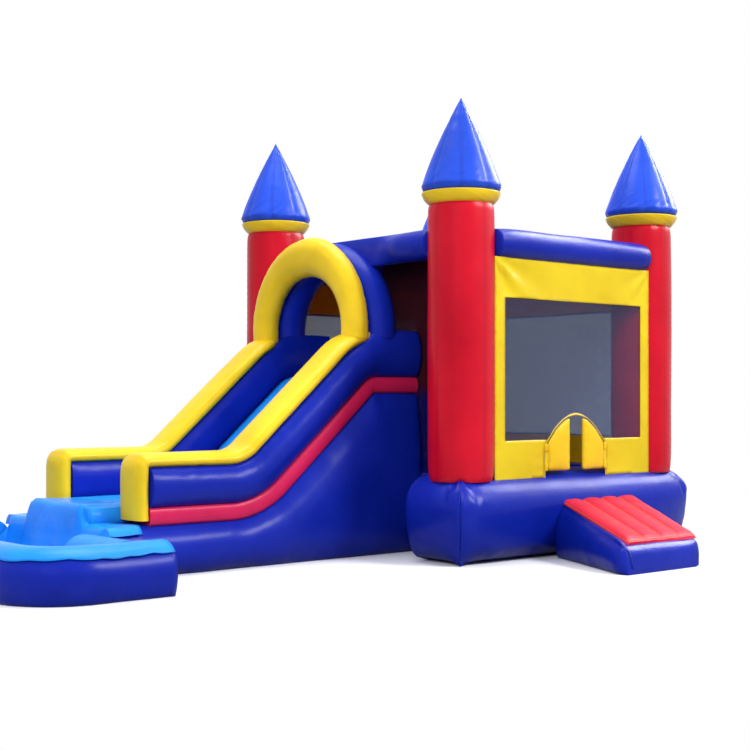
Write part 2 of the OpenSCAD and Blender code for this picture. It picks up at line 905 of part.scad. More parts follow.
module climb_wall() {
    rise = climb_top - climb_foot;
    run = climb_run - 60;
    color("royalblue") translate([0, slide_y, 0]) along_y(climb_w) climb_shape(0);
    color("red") for (k = [1:climb_count]) let (t = (k - 0.5) / climb_count) difference() {
        translate([deck_x + climb_run - run * t, slide_y, climb_foot + rise * t])
            rotate([90, 0, 0]) cylinder(h = climb_w - 60, d = climb_d, center = true);
        translate([0, slide_y, 0]) along_y(climb_w + 20) climb_shape(seam);
    }
}

pool_r = pool_d / 2;
pool_x1 = front_x - seam;
pool_x0 = pool_x1 - pool_len;
pool_bend_x = pool_x0 + pool_r + pool_bend;
pool_y = [slide_y - pool_half, slide_y + pool_half];

module tube_profile(inset) {
    d = pool_r / 5;
    big = (d * d + pool_r * pool_r) / (2 * d);
    translate([0, pool_r]) circle(r = pool_r - inset);
    intersection() {
        translate([pool_r - big, pool_r]) circle(r = big - inset, $fn = 180);
        translate([big - pool_r, pool_r]) circle(r = big - inset, $fn = 180);
        translate([-pool_d, inset]) square([2 * pool_d, pool_r - inset]);
    }
}

module liner_profile() {
    difference() {
        translate([0, pool_r]) circle(r = pool_r + liner_t + liner_fit);
        translate([0, pool_r]) circle(r = pool_r + liner_fit);
        translate([0, -pool_d]) square([pool_d, liner_low + pool_d]);
        translate([-pool_d, -pool_d]) square([pool_d + 1, pool_r + pool_d]);
    }
}

// Straight side runs of the pool, outside of the profile to the outside of the pool
module pool_near(gap) {
    translate([(pool_bend_x + pool_x1 + gap) / 2, pool_y[0], 0]) along_x(pool_x1 - pool_bend_x - gap) children();
}

module pool_far(gap) {
    translate([(pool_bend_x + pool_x1 + gap) / 2, pool_y[1], 0]) mirror([0, 1, 0]) along_x(pool_x1 - pool_bend_x - gap) children();
}

module pool_end(gap) {
    long = 2 * pool_half - 2 * pool_bend - 2 * gap;
    translate([pool_x0 + pool_r, slide_y, 0]) mirror([1, 0, 0]) along_y(long) children();
    translate([pool_bend_x, pool_y[0] + pool_bend, 0]) rotate([0, 0, 180])
        rotate_extrude(angle = 90) translate([pool_bend, 0]) children();
    translate([pool_bend_x, pool_y[1] - pool_bend, 0]) rotate([0, 0, 90])
        rotate_extrude(angle = 90) translate([pool_bend, 0]) children();
}

// Short runs beside the landing's free end
module pool_rear(gap) {
    short = near_side + 15 - pool_y[0] - pool_r - gap;
    for (s = [-1, 1]) translate([pool_x1 - pool_r, slide_y + s * (pool_half - pool_r - gap - short / 2), 0])
        along_y(short) children();
}

module pool_wall_near() {
    color("blue") pool_near(seam) tube_profile(0);
}

module pool_wall_far() {
    color("blue") pool_far(seam) tube_profile(0);
}

module pool_wall_end() {
    color("blue") pool_end(0) tube_profile(0);
}

module pool_wall_rear() {
    color("blue") pool_rear(liner_t + liner_fit + seam) tube_profile(0);
}

module pool_floor() {
    color("deepskyblue") difference() {
        translate([pool_x0 + pool_r, pool_y[0], 0]) cube([pool_x1 - pool_x0 - pool_r, 2 * pool_half, pool_floor_t]);
        pool_near(-20) tube_profile(-seam);
        pool_far(-20) tube_profile(-seam);
        pool_end(0) tube_profile(-seam);
        pool_end(0) square([pool_d + pool_bend, pool_d]);
        pool_rear(-20) tube_profile(-seam);
    }
}

module pool_lip() {
    color("deepskyblue") {
        pool_near(liner_t) liner_profile();
        pool_far(liner_t) liner_profile();
        pool_end(seam) liner_profile();
    }
}

fan_y = ay + base_out + fan_gap;
outlet_z = fan_z - fan_r + outlet_r + 20;
fan_left = fan_x - fan_w / 2;
fan_right = fan_x + fan_w / 2;

// Loose tube that leads the air into the base
module inflation_sleeve() {
    r = outlet_r + sleeve_fit;
    color("blue") difference() {
        translate([fan_x, ay, outlet_z]) rotate([-90, 0, 0]) difference() {
            cylinder(h = base_out + fan_gap - fan_r - sleeve_t, r = r + sleeve_t);
            translate([0, 0, -1]) cylinder(h = base_out + fan_gap + fan_r, r = r);
        }
        back_block(-seam);
    }
}

module turned_x(x) {
    translate([x, fan_y, fan_z]) rotate([0, 90, 0]) children();
}

// Casing with its outlet, feet, air inlet and the guard bars across it
module fan_casing() {
    color("dimgray") {
        difference() {
            union() {
                turned_x(fan_left) cylinder(h = fan_w, r = fan_r);
                translate([fan_x, fan_y - fan_r - 60, outlet_z]) rotate([-90, 0, 0]) cylinder(h = fan_r + 60, r = outlet_r);
                translate([fan_left, fan_y - fan_r * 0.8, 0]) cube([fan_w, fan_r * 1.6, fan_z - fan_r + 60]);
            }
            turned_x(fan_left + fan_wall) cylinder(h = fan_w - 2 * fan_wall, r = fan_r - fan_wall);
            translate([fan_x, fan_y - fan_r - 61, outlet_z]) rotate([-90, 0, 0])
                cylinder(h = fan_r + 61, r = outlet_r - fan_wall);
            turned_x(fan_right - 2 * fan_wall) cylinder(h = 4 * fan_wall, r = inlet_r);
            turned_x(fan_left - 1) cylinder(h = 2 * fan_wall, r = axle_r + 12);
            translate([fan_left + 40, fan_y - fan_r, -1]) cube([fan_w - 80, 2 * fan_r, 21]);
        }
        turned_x(fan_right - fan_wall) difference() {
            union() {
                for (k = [0:5]) rotate([0, 0, 30 * k]) translate([0, 0, fan_wall / 2])
                    cube([2 * inlet_r + 4, 5, fan_wall], center = true);
                for (r = [35, 70]) difference() {
                    cylinder(h = fan_wall, r = r + 3);
                    translate([0, 0, -1]) cylinder(h = 2 * fan_wall, r = r - 3);
                }
            }
        }
    }
}

// Drum wheel: back plate, hub, front ring and the blades between them
module fan_wheel() {
    depth = fan_w - 2 * fan_wall - 40;
    color("silver") turned_x(fan_left + fan_wall + 16) difference() {
        union() {
            cylinder(h = 4, r = wheel_r);
            cylinder(h = 60, r = 26);
            translate([0, 0, depth - 4]) difference() {
                cylinder(h = 4, r = wheel_r);
                translate([0, 0, -1]) cylinder(h = 6, r = wheel_r - 34);
            }
            for (k = [0:blade_count - 1]) rotate([0, 0, 360 * k / blade_count])
                translate([wheel_r - 18, 0, 0]) rotate([0, 0, 35]) translate([-13, -1.25, 2]) cube([26, 2.5, depth - 4]);
        }
        translate([0, 0, -1]) cylinder(h = 80, r = axle_r + axle_fit);
    }
}

// Motor with its axle, cable entry and the box the switch sits in
rocker_z = fan_z + 100;
module fan_motor() {
    well = rocker_w / 2 + rocker_fit;
    color("gray") difference() {
        union() {
            turned_x(fan_left - seam - 130) cylinder(h = 130, r = 78);
            turned_x(fan_left - 10) cylinder(h = fan_wall + 16 + 60 + 6, r = axle_r);
            translate([fan_left - seam - 110, fan_y - 45, fan_z]) cube([80, 90, 100]);
            translate([fan_left - seam - 70, fan_y + 70, fan_z]) rotate([-90, 0, 0]) cylinder(h = 24, r = 11);
        }
        translate([fan_left - seam - 70, fan_y + 60, fan_z]) rotate([-90, 0, 0]) cylinder(h = 40, r = 6);
        translate([fan_left - seam - 70 - well, fan_y - 22, rocker_z - 16]) cube([2 * well, 44, 20]);
        translate([fan_left - seam - 70, fan_y, rocker_z - 6]) rotate([0, 90, 0])
            cylinder(h = rocker_w + 16, r = rocker_pin + rocker_pin_fit, center = true);
    }
}

// Rocker with its round pivot across the well
module fan_switch() {
    color("red") translate([fan_left - seam - 70, fan_y, rocker_z - 6]) {
        rotate([0, 90, 0]) cylinder(h = rocker_w, r = 6, center = true);
        rotate([0, 90, 0]) cylinder(h = rocker_w + 12, r = rocker_pin, center = true);
        for (m = [0, 1]) mirror([0, m, 0]) rotate([9, 0, 0])
            translate([-rocker_w / 2, 0, 2]) cube([rocker_w, 19, 6]);
    }
}

// Anchor tabs on the ground: position, and the way they point
anchor_spots = [
    [ax + base_foot, ay - tab_in, 0],
    [ax + base_foot, -ay + tab_in, 0],
    [ax - tab_in, ay + base_foot, 90],
    [-ax + tab_in, ay + base_foot, 90]
];

module anchor_tabs() {
    color("black") difference() {
        for (s = anchor_spots) translate([s[0], s[1], 0]) rotate([0, 0, s[2]]) difference() {
            union() {
                translate([-tab_t, -tab_w / 2, 0]) cube([tab_l - tab_w / 2 + tab_t, tab_w, tab_t]);
                translate([tab_l - tab_w / 2, 0, 0]) cylinder(h = tab_t, d = tab_w);
            }
            translate([tab_l - tab_w / 2, 0, -1]) cylinder(h = tab_t + 2, r = eyelet_r + 4 + seam);
        }
        front_block(-seam);
        back_block(-seam);
    }
}

module anchor_eyelets() {
    color("goldenrod") for (s = anchor_spots) translate([s[0], s[1], 0]) rotate([0, 0, s[2]])
        translate([tab_l - tab_w / 2, 0, 0]) difference() {
            union() {
                cylinder(h = tab_t + seam, r = eyelet_r + 4);
                translate([0, 0, tab_t + seam]) cylinder(h = 3, r = eyelet_r + 12);
            }
            translate([0, 0, -1]) cylinder(h = tab_t + 10, r = eyelet_r);
        }
}

base_front();
base_back();
base_right();
bounce_floor();
column(-1, -1);  // column_front_left
column(1, -1);  // column_front_right
column(-1, 1);  // column_back_left
column(1, 1);  // column_back_right
collar(-1, -1);  // collar_front_left
collar(1, -1);  // collar_front_right
collar(-1, 1);  // collar_back_left
collar(1, 1);  // collar_back_right
spire(-1, -1);  // spire_front_left
spire(1, -1);  // spire_front_right
spire(-1, 1);  // spire_back_left
spire(1, 1);  // spire_back_right
beam("front");  // beam_front
beam("back");  // beam_back
beam("left");  // beam_left
beam("right");  // beam_right
roof_sheet();
wall_front();
wall_right();
wall_back();
net_front();
net_right();
net_back();
net_left();
door_flap_left();
door_flap_right();
door_hem();
ramp_body();
ramp_tread();
slide_landing();
slide_body();
platform_tower();
platform_deck();
slide_bed();
rail_near();
rail_far();
rail_cap_near();
rail_cap_far();
stripe_near();
stripe_far();
arch_front();
arch_hood();
climb_wall();
pool_wall_near();
pool_wall_end();
pool_wall_far();
pool_wall_rear();
pool_floor();
pool_lip();
inflation_sleeve();
fan_casing();
fan_wheel();
fan_motor();
fan_switch();
anchor_tabs();
anchor_eyelets();
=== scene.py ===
import math

import bmesh
import bpy
import numpy as np
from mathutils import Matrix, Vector
from mathutils.geometry import delaunay_2d_cdt


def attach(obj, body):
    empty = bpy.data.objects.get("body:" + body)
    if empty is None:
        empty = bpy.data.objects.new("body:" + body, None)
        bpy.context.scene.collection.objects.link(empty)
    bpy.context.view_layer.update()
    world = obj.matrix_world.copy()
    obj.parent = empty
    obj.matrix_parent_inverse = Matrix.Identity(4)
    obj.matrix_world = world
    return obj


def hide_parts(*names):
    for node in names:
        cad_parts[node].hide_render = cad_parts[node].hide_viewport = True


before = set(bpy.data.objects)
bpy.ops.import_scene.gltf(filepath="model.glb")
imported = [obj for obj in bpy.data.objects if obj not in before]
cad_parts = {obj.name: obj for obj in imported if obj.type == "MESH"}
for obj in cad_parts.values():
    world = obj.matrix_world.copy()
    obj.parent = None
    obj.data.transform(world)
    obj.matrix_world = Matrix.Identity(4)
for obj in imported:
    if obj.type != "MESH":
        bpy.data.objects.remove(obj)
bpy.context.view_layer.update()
scene = bpy.context.scene

# Sizes in metres, the same as the part's source
GAP = 0.0003
AX, AY = 1.345, 1.495
BASE_H, BASE_OUT, BASE_FOOT, BASE_ROUND, BASE_IN = 0.83, 0.40, 0.29, 0.30, 0.335
BASE_LIFT = BASE_H - BASE_ROUND
COL_R, COL_TOP, COLLAR_H, COLLAR_R = 0.315, 3.395, 0.110, 0.385
SPIRE_R, SPIRE_H, SPIRE_FOOT = 0.39, 0.91, 0.055
BEAM_R, BEAM_Z, BEAM_OUT = 0.150, 3.035, 0.19
BEAM_END_X, BEAM_END_Y, LEFT_BEAM_X = AX - 0.25, AY - 0.25, -AX - 0.15
ROOF_TOP, ROOF_RISE, ROOF_OUT = 3.13, 0.085, 0.13
WALL_X, WALL_Y = AX + 0.255, AY + 0.255
WALL_FRONT, WALL_SIDE, WALL_LOW, WALL_HIGH = 1.150, 1.300, 0.772, 2.905
WIN_HALF, WIN_SIDE, WIN_LOW, WIN_HIGH = 1.01, 1.16, 1.15, 2.52
DOOR_HALF = 0.44
DOOR_ARCH = [(0.44, 1.075), (0.43, 1.11), (0.385, 1.15), (0.30, 1.25), (0.19, 1.33), (0.10, 1.37),
             (0.0, 1.385)]
SLIDE_Y, LANE_W, RAIL_W = 0.345, 1.02, 0.41
ANGLE = math.radians(41)
BAND_LOW, BAND_HIGH, BAND_HALF = 0.52, 1.69, 0.08
RAIL_TOP, CAP_T, LANE_RISE = 0.43, 0.12, 0.10
BEND_LOW, BEND_HIGH = 0.90, 0.15
DECK_X, JOINT_X = -1.045, -1.75
KNEE_HIGH = -AX - 0.309
KNEE_LOW = KNEE_HIGH - (BAND_HIGH - BAND_LOW) / math.tan(ANGLE)
RAIL_X = KNEE_LOW - 1.30
FRONT_X = RAIL_X - 0.32
BEND_LOW_X = KNEE_LOW - BEND_LOW * math.tan(ANGLE / 2)
LEVEL_X = KNEE_HIGH + BEND_HIGH * math.tan(ANGLE / 2)
NEAR_Y = SLIDE_Y - LANE_W / 2 - RAIL_W / 2
FAR_Y = SLIDE_Y + LANE_W / 2 + RAIL_W / 2
NEAR_SIDE, FAR_SIDE = NEAR_Y - RAIL_W / 2, FAR_Y + RAIL_W / 2
TOWER_FAR = min(FAR_SIDE, AY - BASE_IN - 0.08)
GUARD_END, GUARD_HIGH = DECK_X - 0.012, BAND_HIGH + RAIL_TOP + CAP_T
ARCH_R, ARCH_Y, ARCH_T, HOOD_R = 0.75, SLIDE_Y - 0.03, 0.11, 0.185
HOOD_X = LEVEL_X - 0.08 + HOOD_R
POOL_R, POOL_BEND = 0.21, 0.40
POOL_X0, POOL_X1 = FRONT_X - 1.29, FRONT_X
POOL_Y = (SLIDE_Y - 1.845, SLIDE_Y + 1.845)
FAN_X = 0.70

# Distance to the nearest seam, where there is none
NO_SEAM = 9.0
# Thickness of a vinyl sheet
SHEET_T = 0.002
# Caps that close a chamber flat
FLAT = (0.0, 0.0)


def look(name, data, at, way):
    """A camera or lamp at a place, turned one way."""
    ob = bpy.data.objects.new(name, data)
    ob.location = at
    ob.rotation_euler = Vector(way).to_track_quat("-Z", "Y").to_euler()
    scene.collection.objects.link(ob)
    return ob


# Camera, level at eye height, at the photograph's angle
camera = bpy.data.cameras.new("camera")
camera.sensor_width = 36
camera.lens = 64.9
camera.shift_y = 0.032
camera.clip_end = 200
scene.camera = look("camera", camera, (-10.28, -10.79, 1.55), (0.6456, 0.7633, 0.0))


def tint(rgb, gain=1.0, add=0.0):
    """sRGB 0 to 255 as linear RGBA, scaled and lifted."""
    c = [x / 255 for x in rgb]
    c = [x / 12.92 if x <= 0.04045 else ((x + 0.055) / 1.055) ** 2.4 for x in c]
    return [min(x * gain + add, 1) for x in c] + [1]


class Shader:
    """A node tree being wired up."""

    def __init__(self, owner, output):
        owner.use_nodes = True
        self.owner = owner
        self.tree = owner.node_tree
        self.tree.nodes.clear()
        self.out = self.node(output)

    def wire(self, node, ins):
        """Gives a node's inputs their values or links."""
        for k, v in ins.items():
            if isinstance(v, bpy.types.NodeSocket):
                self.tree.links.new(v, node.inputs[k])
            else:
                node.inputs[k].default_value = v

    def node(self, kind, ins=None, **props):
        n = self.tree.nodes.new("ShaderNode" + kind)
        for k, v in props.items():
            setattr(n, k, v)
        self.wire(n, ins or {})
        return n

    def add(self, kind, ins=None, out=0, **props):
        """An output of a new node."""
        return self.node(kind, ins, **props).outputs[out]

    def math(self, op, a, b=0.0, clamp=False):
        return self.add("Math", {0: a, 1: b}, operation=op, use_clamp=clamp)

    def remap(self, x, a, b, c, d):
        return self.add("MapRange", {"Value": x, "From Min": a, "From Max": b, "To Min": c, "To Max": d})

    def mix(self, fac, a, b):
        return self.add("Mix", {0: fac, 6: a, 7: b}, 2, data_type="RGBA")

    def blend(self, fac, a, b):
        """Sends a mix of two shaders to the output."""
        self.wire(self.out, {0: self.add("MixShader", {0: fac, 1: a, 2: b})})

    def seen(self):
        """1 for rays that show the background: camera, glossy and transmission rays."""
        rays = self.node("LightPath").outputs
        direct = self.math("MAXIMUM", rays["Is Camera Ray"], rays["Is Glossy Ray"])
        return self.math("MAXIMUM", direct, rays["Is Transmission Ray"])


class Surface(Shader):
    """A material with a principled shader, in object coordinates."""

    def __init__(self, name):
        super().__init__(bpy.data.materials.new(name), "OutputMaterial")
        self.bsdf = self.node("BsdfPrincipled")
        self.wire(self.out, {0: self.bsdf.outputs[0]})
        self.coord = self.add("TexCoord", out="Object")

    def noise(self, scale, detail=3.0, rough=0.5, stretch=None, distortion=0.0):
        at = self.add("Mapping", {"Vector": self.coord, "Scale": stretch}) if stretch else self.coord
        ins = {"Vector": at, "Scale": scale, "Detail": detail, "Roughness": rough, "Distortion": distortion}
        return self.add("TexNoise", ins, "Fac")

    def patches(self, low, high, *form):
        """Noise of a form, from 0 at low to 1 at high."""
        return self.remap(self.noise(*form), low, high, 0, 1)

    def height(self):
        return self.add("SeparateXYZ", {0: self.coord}, 2)

    def bump(self, *layers):
        """Stacked bumps, each as height, distance and strength."""
        ins = {}
        for height, distance, strength in layers:
            ins.update({"Height": height, "Distance": distance, "Strength": strength})
            ins["Normal"] = self.add("Bump", ins)
        return ins["Normal"]

    def done(self, colour, roughness, normal, **more):
        ins = {"Base Color": colour, "Roughness": roughness, "Normal": normal}
        self.wire(self.bsdf, {**ins, **{k.replace("_", " "): v for k, v in more.items()}})
        return self.owner


def vinyl(name, rgb, rough=0.36, coat=0.18, thread=0.62, crease=1.0, glow=None):
    """Coated vinyl with a woven backing: creases, fine ripples, sewn seams with painted shade beside them,
    and a little dirt near the ground.
    thread is the colour of the stitches, or how much darker than the vinyl they are."""
    m = Surface(name)
    dark = tint(rgb, 0.80)
    tone = m.mix(m.patches(0.3, 0.7, 1.1, 3, 0.55), dark, tint(rgb, 1.10, 0.004))
    low = m.remap(m.height(), 0.01, 0.16, 0.16, 0.0)
    dirt = m.math("MULTIPLY", low, m.patches(0.42, 0.72, 6.5, 6, 0.65))
    tone = m.mix(dirt, tone, tint(rgb, 0.45, 0.05))
    d, s = [m.add("Attribute", out="Fac", attribute_name=k) for k in ("seam_d", "seam_s")]
    rows = []
    for at in (0.011, 0.021):
        off = m.math("MULTIPLY", m.math("ABSOLUTE", m.math("SUBTRACT", d, at)), 420.0, True)
        rows.append(m.math("SUBTRACT", 1.0, off, True))
    dash = m.math("GREATER_THAN", m.math("FRACT", m.math("MULTIPLY", s, 95.0)), 0.32)
    stitch = m.math("MULTIPLY", m.math("MAXIMUM", *rows), dash)
    # painted shade: darker within 2 cm of each seam, as if shaded in its groove
    tone = m.mix(m.remap(d, 0.0, 0.02, 0.55, 0.0), tone, dark)
    yarn = tint(thread) if isinstance(thread, tuple) else tint(rgb, thread)
    tone = m.mix(m.math("MULTIPLY", stitch, 0.75), tone, yarn)
    wave = {"Vector": m.coord, "Scale": 130.0}
    x, y, z = [m.add("TexWave", wave, "Fac", wave_type="BANDS", bands_direction=k) for k in "XYZ"]
    weave = m.math("ADD", m.math("MULTIPLY", x, y), z)
    warp = m.add("TexNoise", {"Vector": m.coord, "Scale": 2.0}, "Color")
    warp = m.add("VectorMath", {0: m.coord, 1: warp}, operation="ADD")
    fold = m.add("TexVoronoi", {"Vector": warp, "Scale": 2.6}, "Distance", feature="DISTANCE_TO_EDGE")
    normal = m.bump(
        (m.noise(3.2, 3, 0.5, distortion=0.4), 0.020 * crease, 0.35),
        (m.noise(15.0, 3, 0.55), 0.003 * crease, 0.30),
        (m.remap(fold, 0.0, 0.035, 0.0, 1.0), 0.0016 * crease, 0.35),
        (weave, 0.0003, 0.25),
        (m.math("MULTIPLY", stitch, -1.0), 0.0015, 0.8),
    )
    if glow:
        m.blend(0.16, m.bsdf.outputs[0], m.add("BsdfTranslucent", {"Color": tint(glow)}))
    gloss = m.remap(m.noise(4.0, 4, 0.6), 0.3, 0.7, rough - 0.06, rough + 0.10)
    return m.done(tone, gloss, normal, Specular_IOR_Level=0.08, Coat_Weight=coat, Coat_Roughness=0.22)


def netting(name, rgb, painted_shade_low_rgb=None):
    """Knitted polyester strands; where a low colour is given, it is painted shade below the guard."""
    m = Surface(name)
    tone = m.mix(m.noise(60.0, 4), tint(rgb, 0.7), tint(rgb, 1.25))
    if painted_shade_low_rgb:
        # painted shade: below the guard the strands take the navy of the shaded recess behind them
        tone = m.mix(m.remap(m.height(), 1.55, 1.70, 1.0, 0.0), tone, tint(painted_shade_low_rgb))
    return m.done(tone, 0.7, m.bump((m.noise(900.0, 2), 0.0006, 0.5)), Specular_IOR_Level=0.15)


def webbing(name, rgb):
    """Woven polyester strap with a twill rib."""
    m = Surface(name)
    wave = {"Vector": m.coord, "Scale": 110.0, "Distortion": 0.6, "Detail": 1.0}
    rib = m.add("TexWave", wave, "Fac", bands_direction="DIAGONAL")
    tone = m.mix(rib, tint(rgb, 0.55), tint(rgb, 1.3, 0.01))
    tone = m.mix(m.remap(m.noise(9.0, 5), 0.45, 0.8, 0, 0.35), tone, tint((120, 112, 100)))
    return m.done(tone, 0.8, m.bump((rib, 0.0008, 0.7)))


def moulded(name, rgb, rough=0.45, grain=900.0, scuff=0.25):
    """Moulded plastic with a fine grain and pale scuffs."""
    m = Surface(name)
    tone = m.mix(m.noise(7.0, 4), tint(rgb, 0.82), tint(rgb, 1.15, 0.004))
    rub = m.math("MULTIPLY", m.patches(0.56, 0.75, 24.0, 6, 0.7, (1, 1, 0.25)), scuff)
    tone = m.mix(rub, tone, tint(rgb, 1.0, 0.18))
    gloss = m.remap(m.noise(11.0, 3), 0.3, 0.7, rough - 0.08, rough + 0.12)
    return m.done(tone, gloss, m.bump((m.noise(grain, 2), 0.0003, 0.5)))


def metal(name, rgb, rough=0.35):
    """Plated sheet metal, brushed and a little tarnished."""
    m = Surface(name)
    tone = m.mix(m.remap(m.noise(40.0, 5, 0.6), 0.45, 0.75, 0, 0.5), tint(rgb), tint(rgb, 0.5))
    gloss = m.remap(m.noise(90.0, 4, 0.6, (1, 6, 6)), 0.3, 0.7, rough - 0.1, rough + 0.15)
    return m.done(tone, gloss, m.bump((m.noise(160.0, 3), 0.0003, 0.4)), Metallic=1.0)


BLUE = vinyl("vinyl_blue", (10, 35, 162), coat=0.13)
ROOF_BLUE = vinyl("vinyl_roof", (10, 35, 162), rough=0.55, coat=0.03)
SPIRE = vinyl("vinyl_spire", (36, 76, 204), coat=0.13, crease=0.7)
RED = vinyl("vinyl_red", (204, 5, 36), crease=0.7)
TREAD = vinyl("vinyl_tread", (224, 34, 64), rough=0.60, coat=0.04, thread=(250, 196, 110))
YELLOW = vinyl("vinyl_yellow", (248, 206, 36), thread=0.75)
WALL_YELLOW = vinyl("vinyl_wall", (255, 220, 38), thread=0.75, glow=(226, 110, 24))
AZURE = vinyl("vinyl_azure", (30, 142, 240), rough=0.30, coat=0.12)
CRIMSON = vinyl("vinyl_crimson", (212, 30, 86))
IVORY = vinyl("vinyl_ivory", (240, 210, 96))
FLOOR_BLUE = vinyl("vinyl_floor", (30, 56, 176))
NET = netting("net_dark", (76, 92, 126))
NET_FINE = netting("net_fine", (138, 162, 212))
# the left net's dark maroon, and the navy below the guard, are painted shade of the dim inside and the recess
# behind it
NET_PAINTED_SHADE = netting("net_painted_shade", (52, 12, 24), (8, 14, 84))
STRAP = webbing("webbing_black", (22, 22, 26))


def noise(q, seed):
    """Smooth value noise from -1 to 1 at points q."""
    q = np.asarray(q, float) + seed * 17.31
    i = np.floor(q).astype(np.int64)
    f = q - i
    f = f * f * (3 - 2 * f)
    total = 0.0
    for corner in range(8):
        o = np.array([corner & 1, corner >> 1 & 1, corner >> 2 & 1])
        a = i + o
        h = (a[..., 0] * 374761393 + a[..., 1] * 668265263 + a[..., 2] * 362437 + 12345) & 0xFFFFFFFF
        h = ((h ^ (h >> 13)) * 1274126177) & 0xFFFFFFFF
        h = ((h ^ (h >> 16)) & 0xFFFF) / 32767.5 - 1
        total = total + h * np.prod(np.where(o == 1, f, 1 - f), axis=-1)
    return total


def noise_at(x, y, z, seed):
    return noise(np.stack(np.broadcast_arrays(x, y, z), -1), seed)


def ease(x):
    """Smooth step from 0 to 1."""
    x = min(max(x, 0.0), 1.0)
    return x * x * (3 - 2 * x)


def swell(f, draw, puff):
    """Offset of a swollen panel: drawn in at its seams, full in its middle."""
    return -draw + (draw + puff) * np.sqrt(np.maximum(np.sin(np.pi * np.asarray(f, float)), 0))


def quilt(n):
    """Heights from 0 to 1 over four sewn channels."""
    return np.sqrt(np.abs(np.sin(4 * np.pi * np.linspace(0, 1, n))))


def pucker(n, d, depth, reach, soft):
    """Gathers that run away from a seam at a distance d, from noise n along it."""
    return -depth * (1 - 2.2 * np.abs(n)) * np.exp(-d / reach) * (1 - np.exp(-d / soft))


def circle(n):
    return np.arange(n) / n * 2 * math.pi


def steps(*parts):
    """Values over several stretches, each as start, end and count."""
    return np.concatenate([np.linspace(*p) for p in parts])


def between(p, q, n):
    """The points of a line from p to q, n with its ends, less those ends."""
    p, q = np.array(p, float), np.array(q, float)
    return (p + (q - p) * np.linspace(0, 1, n)[1:-1, None]).tolist()


def dense(points, step, closed=True):
    """A polygon with a point about every step."""
    pts = np.array(points, float)
    out = []
    for i in range(len(pts) if closed else len(pts) - 1):
        a, b = pts[i], pts[(i + 1) % len(pts)]
        k = max(1, round(float(np.linalg.norm(b - a)) / step))
        out += [a + (b - a) * j / k for j in range(k)]
    return np.array(out if closed else out + [pts[-1]])


def seam(way, at, *form):
    """Seams along rows "v" or columns "u" of a grid. form is the depth, wave and reach of their puckers."""
    return [(way, k, *form) for k in at]


def grid_normals(P, wrap):
    if wrap:
        Q = np.concatenate([P[:, -1:], P, P[:, :1]], 1)
    else:
        Q = np.concatenate([2 * P[:, :1] - P[:, 1:2], P, 2 * P[:, -1:] - P[:, -2:-1]], 1)
    n = np.cross(Q[:, 2:] - Q[:, :-2], np.gradient(P, axis=0))
    n /= np.maximum(np.linalg.norm(n, axis=2, keepdims=True), 1e-9)
    return -n if wrap and np.sum(n * (P - P.mean(1, keepdims=True))) < 0 else n


def sew(P, wrap, seams, seed, lumps):
    """Puckers at each seam of a grid, and broad lumps.
    Returns the points, the distance to the nearest seam and the place along it."""
    P = np.asarray(P, float)
    lu = np.pad(np.cumsum(np.linalg.norm(np.diff(P, axis=1), axis=2), 1), ((0, 0), (1, 0)))
    lv = np.pad(np.cumsum(np.linalg.norm(np.diff(P, axis=0), axis=2), 0), ((1, 0), (0, 0)))
    total = lu[:, -1:] + np.linalg.norm(P[:, 0] - P[:, -1], axis=1)[:, None]
    best = np.full(P.shape[:2], NO_SEAM)
    place = np.zeros(P.shape[:2])
    shift = lumps * noise(P * 2.3, seed)
    for j, (way, k, depth, wave, reach) in enumerate(seams):
        if way == "v":
            D, S = np.abs(lv - lv[k]), lu
        else:
            D, S = np.abs(lu - lu[:, k:k + 1]), lv
            if wrap:
                D = np.minimum(D, total - D)
        fine = noise_at(S / wave, D / (wave * 4), 3.7 * j, seed)
        broad = noise_at(S / (wave * 3), 0, 9.1 * j, seed + 5)
        shift = shift + pucker(fine, D, depth, reach, 0.012) * (0.75 + 0.6 * broad)
        near = D < best
        best = np.where(near, D, best)
        place = np.where(near, S, place)
    return P + grid_normals(P, wrap) * shift[..., None], best, place


def face_out(mesh):
    bm = bmesh.new()
    bm.from_mesh(mesh)
    bmesh.ops.recalc_face_normals(bm, faces=bm.faces)
    bm.to_mesh(mesh)
    bm.free()


def build(name, verts, faces, mat, node=None, d=None, s=None, body="castle", outward=True):
    """A piece that rides on a body, and stands for a node where one is given."""
    mesh = bpy.data.meshes.new(name)
    mesh.from_pydata(np.asarray(verts).tolist(), [], faces)
    if outward:
        face_out(mesh)
    mesh.polygons.foreach_set("use_smooth", [True] * len(mesh.polygons))
    for key, values in (("seam_d", d), ("seam_s", s)):
        values = np.full(len(verts), NO_SEAM) if values is None else np.asarray(values, float).ravel()
        mesh.attributes.new(key, "FLOAT", "POINT").data.foreach_set("value", values)
    mesh.materials.append(mat)
    ob = bpy.data.objects.new(name, mesh)
    scene.collection.objects.link(ob)
    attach(ob, body)
    if node:
        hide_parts(node)
    return ob


def grid_faces(nv, nu, wrap, start=0):
    faces = []
    for j in range(nv - 1):
        for i in range(nu if wrap else nu - 1):
            a, b = start + j * nu + i, start + j * nu + (i + 1) % nu
            faces.append((a, b, b + nu, a + nu))
    return faces


def slab_faces(f, n):
    """Faces of a closed slab over flat triangles f of n points: above, below, and round the edge."""
    top = f.tolist()
    edges = dict.fromkeys((a, b) for t in top for a, b in zip(t, t[1:] + t[:1]))
    rim = [(b, a, a + n, b + n) for a, b in edges if (b, a) not in edges]
    return top + [[a + n for a in t[::-1]] for t in top] + rim


def dome(ring, inner, depth, n):
    """Rings that close an end, from its edge toward its middle."""
    c = ring.mean(0)
    out = c - inner.mean(0)
    out = out / max(np.linalg.norm(out), 1e-9)
    turns = np.linspace(0, math.pi / 2 * 0.97, n + 1)[1:]
    return np.array([c + (ring - c) * math.cos(t) + out * depth * math.sin(t) for t in turns])


